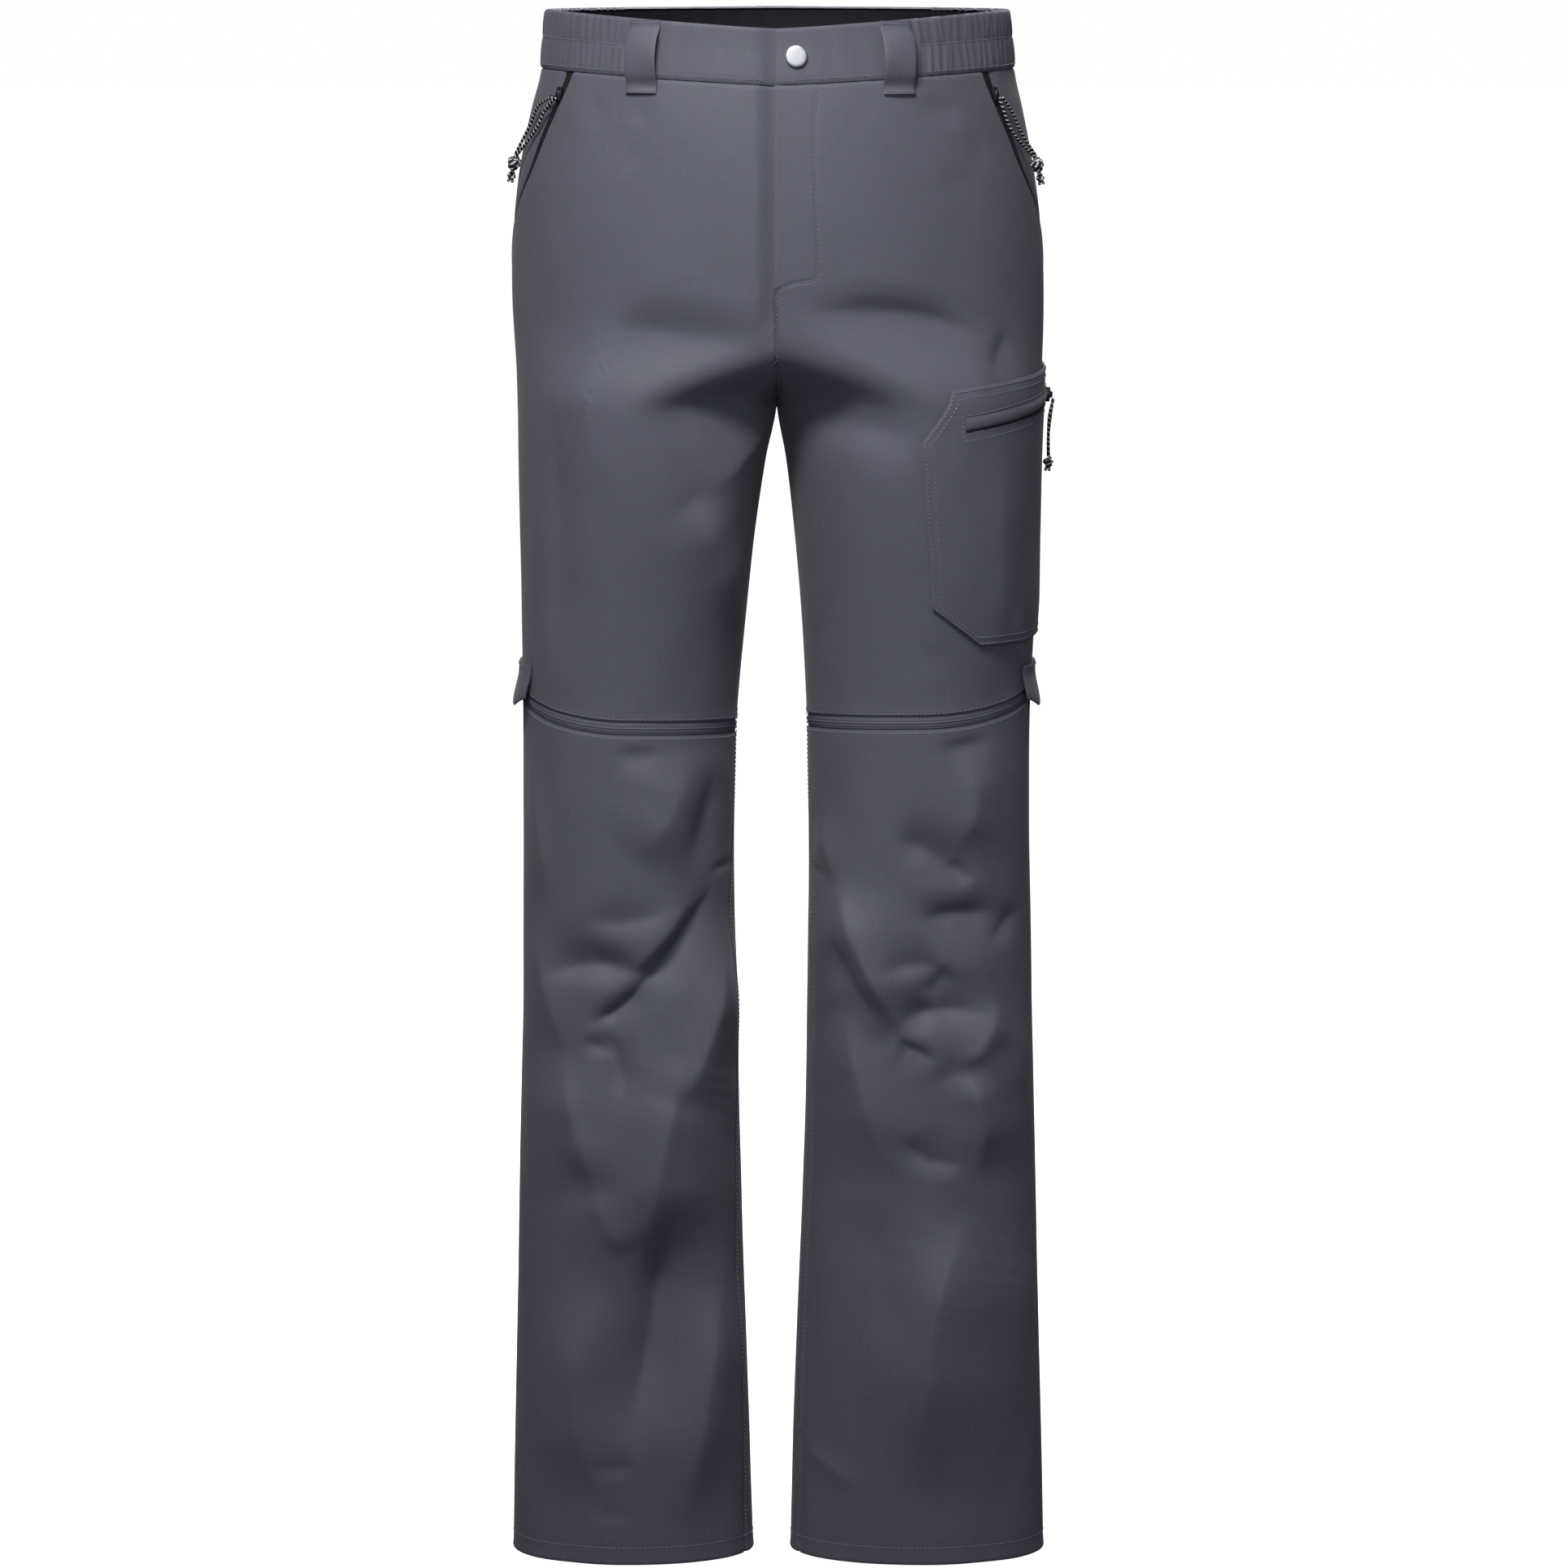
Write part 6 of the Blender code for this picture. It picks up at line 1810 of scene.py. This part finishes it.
@dataclass(frozen=True)
class PullCords:
    """The flecked cords on the pocket sliders, with their knots."""

    finishes: Finishes
    radius: float = 0.0011

    def add_knots(self) -> dict[str, bpy.types.Object]:
        """Make each knot as cord wound round on itself, with the ends below it."""
        made = {}
        for name, place in KNOTS.items():
            start, end = cord_place(place.leg, place.start), cord_place(place.leg, place.end)
            along = (end - start) / np.linalg.norm(end - start)
            across = np.cross(along, [0.0, 1.0, 0.0])
            across /= np.linalg.norm(across)
            third = np.cross(across, along)
            rolls = [(0.0008, 0.0078, 0.0036, 3.1)] if place.long else [(0.0006, 0.0056, 0.0026, 2.3)]
            if place.long:
                rolls.append((0.0132, 0.0034, 0.0019, 1.5))
            meshes = []
            for first, tall, wide, turns in rolls:
                t = np.linspace(0.0, 1.0, int(26 * turns))
                turn = 2 * math.pi * turns * t
                swell = wide * (0.50 + 0.50 * np.sin(np.pi * t))
                route = start + along * (first + tall * t + 0.0007 * np.sin(turn * 0.5))[:, None]
                route = route + across * (swell * np.cos(turn))[:, None]
                route = route + third * (swell * np.sin(turn))[:, None]
                meshes.append(tube_mesh("knot", route, 1.15 * self.radius, 8))
                core = [start + along * (first + tall * share) for share in (0.05, 0.5, 0.95)]
                meshes.append(tube_mesh("core", smooth_route(np.array(core), 8), 0.75 * wide))
            last = rolls[-1][0] + rolls[-1][1]
            if place.long:
                link = [start + along * reach for reach in (0.0080, 0.0108, 0.0136)]
                meshes.append(tube_mesh("link", smooth_route(np.array(link), 8), 0.0015))
            for sway in (-1.0, 1.0):
                tail = [start + along * (last - 0.0010),
                        start + along * (last + 0.0012) + across * 0.0008 * sway,
                        start + along * (last + 0.0034) + across * 0.0015 * sway]
                meshes.append(tube_mesh("tail", smooth_route(np.array(tail), 10), self.radius, 8))
            made[name] = self.join(name.replace("pull_knot", "cord_knot"), meshes)
            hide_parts(name)
        return made

    def join(self, name: str, meshes: list[bpy.types.Mesh]) -> bpy.types.Object:
        """Join tubes into one piece."""
        objects = []
        for mesh in meshes:
            mesh.materials.append(self.finishes.cord)
            piece = bpy.data.objects.new(name, mesh)
            bpy.context.scene.collection.objects.link(piece)
            objects.append(piece)
        bpy.ops.object.select_all(action="DESELECT")
        for piece in objects:
            piece.select_set(True)
        bpy.context.view_layer.objects.active = objects[0]
        bpy.ops.object.join()
        joined = bpy.context.view_layer.objects.active
        joined.name = name
        joined.data.name = name
        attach(joined, BODY)
        return joined

    def add_strands(self, knots: dict[str, bpy.types.Object]) -> None:
        for name, strand in STRANDS.items():
            places = np.array([cord_place(strand.leg, point) for point in strand.points])
            route = smooth_route(places, 36)
            mesh = tube_mesh(name.replace("pull_strand", "cord_strand"), route, self.radius)
            piece = Piece.from_mesh(mesh, [self.finishes.cord], Slot.CORD)
            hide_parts(name)


@dataclass(frozen=True)
class Hardware:
    """The snap and the five zip sliders."""

    finishes: Finishes
    snap_x: float = 0.0133
    snap_z: float = -0.0124

    @staticmethod
    def frame_at(leg: Leg, angle: float, z: float, out: float) -> Matrix:
        """Matrix at a point of the surface: X round the leg, Y out, Z up along it."""
        where = (leg.value, np.array(float(angle)), np.array(float(z)))
        outward = Vector(FORM.normal(*where))
        origin = Vector(FORM.point(*where)) + outward * out
        around = Vector((0, 0, 1)).cross(outward).normalized()
        up = outward.cross(around)
        matrix = Matrix((around, outward, up)).transposed().to_4x4()
        matrix.translation = origin
        return matrix

    @staticmethod
    def settle(piece: bpy.types.Object, name: str, matrix: Matrix) -> None:
        """Name a piece and move its mesh to its place, with the object at the origin."""
        piece.name = name
        piece.data.name = name
        piece.data.transform(matrix @ piece.matrix_world)
        piece.matrix_world = Matrix.Identity(4)

    @staticmethod
    def select_where(piece: bpy.types.Object, test: Callable) -> None:
        """Select the faces whose centre and normal pass a test, in edit mode."""
        bpy.ops.mesh.select_all(action="DESELECT")
        bpy.ops.object.mode_set(mode="OBJECT")
        for face in piece.data.polygons:
            face.select = bool(test(face.center, face.normal))
        bpy.ops.object.mode_set(mode="EDIT")

    def add_snap(self) -> None:
        """The snap's cap: a disc with a rolled rim and a faintly domed face."""
        bpy.ops.object.select_all(action="DESELECT")
        bpy.ops.mesh.primitive_cylinder_add(vertices=48, radius=0.0075, depth=0.0017,
                                            location=(0, 0, 0.00085))
        cap = bpy.context.object
        bpy.ops.object.mode_set(mode="EDIT")
        bpy.ops.mesh.select_mode(type="FACE")
        self.select_where(cap, lambda centre, normal: normal.z > 0.9)
        for thickness, rise in ((0.0004, 0.00022), (0.0005, 0.00016), (0.0010, 0.00008),
                                (0.0016, 0.00005), (0.0020, 0.00002)):
            bpy.ops.mesh.inset(thickness=thickness, depth=0.0)
            bpy.ops.transform.translate(value=(0, 0, rise))
        bpy.ops.object.mode_set(mode="OBJECT")
        bevel = cap.modifiers.new("rim", "BEVEL")
        bevel.width, bevel.segments, bevel.limit_method = 0.0003, 3, "ANGLE"
        bevel.angle_limit = math.radians(40)
        bpy.ops.object.modifier_apply(modifier=bevel.name)
        bpy.ops.object.shade_smooth_by_angle(angle=math.radians(35))
        cap.data.materials.append(self.finishes.snap)
        turn = Matrix.Rotation(math.radians(-90), 4, "X")
        angle = float(FORM.angle_at(1, self.snap_x, self.snap_z))
        self.settle(cap, "snap_cap", self.frame_at(Leg.LEFT, angle, self.snap_z, 0.0013) @ turn)
        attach(cap, BODY)
        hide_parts("snap_button")

    def add_slider(
        self, name: str, node: str, matrix: Matrix, length: float, width: float, thickness: float
    ) -> None:
        """One zip slider: a waisted body, a raised bridge and rounded edges.

        Args:
            name: The piece's name.
            node: The CAD node that it stands for.
            matrix: Its place, with Y out and Z along the zip.
            length: Its length along the zip.
            width: Its width.
            thickness: How far it stands up.
        """
        bpy.ops.object.select_all(action="DESELECT")
        bpy.ops.mesh.primitive_cube_add(size=1.0, location=(0, 0.5, 0))
        body = bpy.context.object
        bpy.ops.object.mode_set(mode="EDIT")
        bpy.ops.mesh.select_mode(type="FACE")
        bpy.ops.mesh.select_all(action="SELECT")
        bpy.ops.transform.resize(value=(width, thickness * 0.55, length),
                                 center_override=(0, 0, 0))
        bpy.ops.mesh.subdivide(number_cuts=3)
        self.select_where(body, lambda centre, normal: centre.z > length * 0.20)
        bpy.ops.transform.resize(value=(0.78, 1.0, 1.0), center_override=(0, 0, 0))
        self.select_where(body, lambda centre, normal: centre.z < -length * 0.30)
        bpy.ops.transform.resize(value=(0.72, 1.0, 1.0), center_override=(0, 0, 0))
        self.select_where(
            body, lambda centre, normal: normal.y > 0.9 and abs(centre.x) < width * 0.26
            and abs(centre.z) < length * 0.30,
        )
        bpy.ops.mesh.extrude_region_move(
            TRANSFORM_OT_translate={"value": (0, thickness * 0.33, 0)})
        bpy.ops.transform.resize(value=(0.62, 1.0, 0.80), center_override=(0, thickness * 0.88, 0))
        bpy.ops.object.mode_set(mode="OBJECT")
        bevel = body.modifiers.new("edges", "BEVEL")
        bevel.width, bevel.segments, bevel.limit_method = 0.00028, 3, "ANGLE"
        bevel.angle_limit = math.radians(35)
        bpy.ops.object.modifier_apply(modifier=bevel.name)
        bpy.ops.object.shade_smooth_by_angle(angle=math.radians(40))
        body.data.materials.append(self.finishes.slider)
        self.settle(body, name, matrix)
        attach(body, BODY)
        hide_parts(node)

    def add_sliders(self) -> None:
        """The five sliders, where the part has them."""
        for leg in Leg:
            z = -0.0385
            angle = float(FORM.pocket_edge(z)) + 0.5 * FORM.pocket_zip_degrees
            self.add_slider(f"pocket_slider_{leg.word}", f"hand_slider_{leg.word}",
                            self.frame_at(leg, angle, z, 0.0001), 0.0095, 0.0064, 0.0036)
            knee_z = float(FORM.knee_line(leg.value, 84.0)) - 0.5 * FORM.knee_open
            self.add_slider(f"leg_slider_{leg.word}", f"knee_slider_{leg.word}",
                            self.frame_at(leg, 88.0, knee_z, -0.0023), 0.0072, 0.0070, 0.0028)
        self.add_slider("cargo_zip_slider", "cargo_slider",
                        self.frame_at(Leg.LEFT, 91.0, -0.2465, 0.0038), 0.0100, 0.0070, 0.0054)


@dataclass(frozen=True)
class Studio:
    """Camera, floor and lights."""

    distance: float = 4.0
    elevation: float = 8.0
    centre: tuple = (0.0051, 0.0, -0.5205)
    lens: float = 130.76
    floor_z: float = -1.080

    def add_camera(self) -> None:
        """The camera at the photo's angle."""
        data = bpy.data.cameras.new("camera")
        data.lens, data.sensor_width = self.lens, 36.0
        camera = bpy.data.objects.new("camera", data)
        tilt = math.radians(self.elevation)
        x, y, z = self.centre
        camera.location = (x, y - self.distance * math.cos(tilt),
                           z + self.distance * math.sin(tilt))
        camera.rotation_euler = (math.pi / 2 - tilt, 0.0, 0.0)
        bpy.context.scene.collection.objects.link(camera)
        bpy.context.scene.camera = camera

    def add_light(
        self, name: str, place: tuple, size: tuple, power: float, colour: str,
        beam: float = 180.0, aim_z: float = -0.40,
    ) -> None:
        """Add a soft rectangular light.

        Args:
            name: The light's name.
            place: Its position.
            size: Its width and height.
            power: Its power in watts.
            colour: Its web colour.
            beam: How wide it shines, in degrees.
            aim_z: The height on the trousers' middle line that it faces.
        """
        data = bpy.data.lights.new(name, "AREA")
        data.shape, data.size, data.size_y = "RECTANGLE", *size
        data.energy = power
        data.color = srgb(colour)[:3]
        light = bpy.data.objects.new(name, data)
        light.location = place
        data.spread = math.radians(beam)
        aim = Vector((0.0, 0.0, aim_z)) - Vector(place)
        light.rotation_euler = aim.to_track_quat("-Z", "Y").to_euler()
        bpy.context.scene.collection.objects.link(light)

    def add_floor(self) -> None:
        """A plain pale floor, a little bright of its own so that it stays pale all over."""
        material, _, shader = start_material("pale floor")
        shader.inputs["Base Color"].default_value = (0.8, 0.8, 0.8, 1.0)
        shader.inputs["Roughness"].default_value = 0.9
        shader.inputs["Emission Color"].default_value = (1.0, 1.0, 1.0, 1.0)
        shader.inputs["Emission Strength"].default_value = 1.0
        half = 60.0
        corners = [(-half, -half), (half, -half), (half, half), (-half, half)]
        points = [(x, y, self.floor_z) for x, y in corners]
        mesh = bpy.data.meshes.new("floor")
        mesh.from_pydata(points, [], [(0, 1, 2, 3)])
        mesh.materials.append(material)
        floor = bpy.data.objects.new("floor", mesh)
        floor.visible_diffuse = False
        floor.visible_glossy = False
        bpy.context.scene.collection.objects.link(floor)

    def add_world(self) -> None:
        """Weak even light from all round, with a plain white backdrop."""
        world = bpy.data.worlds.new("studio")
        world.use_nodes = True
        tree = world.node_tree
        tree.nodes.clear()
        soft = add_node(tree, "ShaderNodeBackground", {"Color": srgb("#eef0ff"), "Strength": 0.12})
        white = add_node(tree, "ShaderNodeBackground", {"Color": (1, 1, 1, 1), "Strength": 1.0})
        seen = add_node(tree, "ShaderNodeLightPath").outputs["Is Camera Ray"]
        mix = add_node(tree, "ShaderNodeMixShader",
                       {0: seen, 1: soft.outputs[0], 2: white.outputs[0]})
        add_node(tree, "ShaderNodeOutputWorld", {"Surface": mix.outputs[0]})
        bpy.context.scene.world = world

    def add(self) -> None:
        """Set up the whole studio."""
        self.add_camera()
        self.add_light("key", (-0.30, -1.28, 1.16), (0.55, 0.40), 33.2, "#fffefa")
        self.add_light("front", (-0.10, -2.4, 0.50), (1.6, 0.7), 1.25, "#f6f8ff", 40.0, -0.38)
        self.add_light("back", (0.3, 1.6, 1.4), (1.2, 0.8), 50.0, "#fbfbff")
        self.add_floor()
        self.add_world()
        bpy.context.scene.view_settings.view_transform = "Standard"


def main() -> None:
    """Build every piece in order and report it."""
    logging.basicConfig(level=logging.INFO, format="%(name)s: %(message)s")
    Studio().add()
    finishes = Finishes()
    sewing = Sewing(finishes)
    cords = PullCords(finishes)
    cords.add_strands(cords.add_knots())
    band = Waistband(finishes, sewing)
    band.add_fronts()
    band.add_back()
    for leg in Leg:
        panels = LegPanels(leg, finishes, sewing)
        panels.add_front()
        panels.add_back()
        panels.add_lower()
        panels.sew()
        band.add_elastic(leg)
        zip_ring = KneeZip(leg, finishes, sewing)
        zip_ring.add_tape()
        zip_ring.add_flap()
        HandPocket(leg, finishes, sewing).add()
        BeltLoop(f"belt_loop_front_{leg.word}", leg, band.loop_angle(leg),
                 f"waistband_elastic_{leg.word}", finishes, sewing).add()
        BeltLoop(f"belt_loop_back_{leg.word}", leg, band.elastic_end, "waistband_back", finishes,
                 sewing).add()
    BeltLoop("belt_loop_back_centre", Leg.LEFT, 180.0, "waistband_back", finishes, sewing).add()
    band.sew()
    Fly(finishes, sewing).sew()
    cargo = CargoPocket(finishes, sewing)
    cargo.add_patch()
    cargo.add_zip()
    cargo.sew()
    hardware = Hardware(finishes)
    hardware.add_snap()
    hardware.add_sliders()
    sewing.finish()


if __name__ == "__main__":
    main()
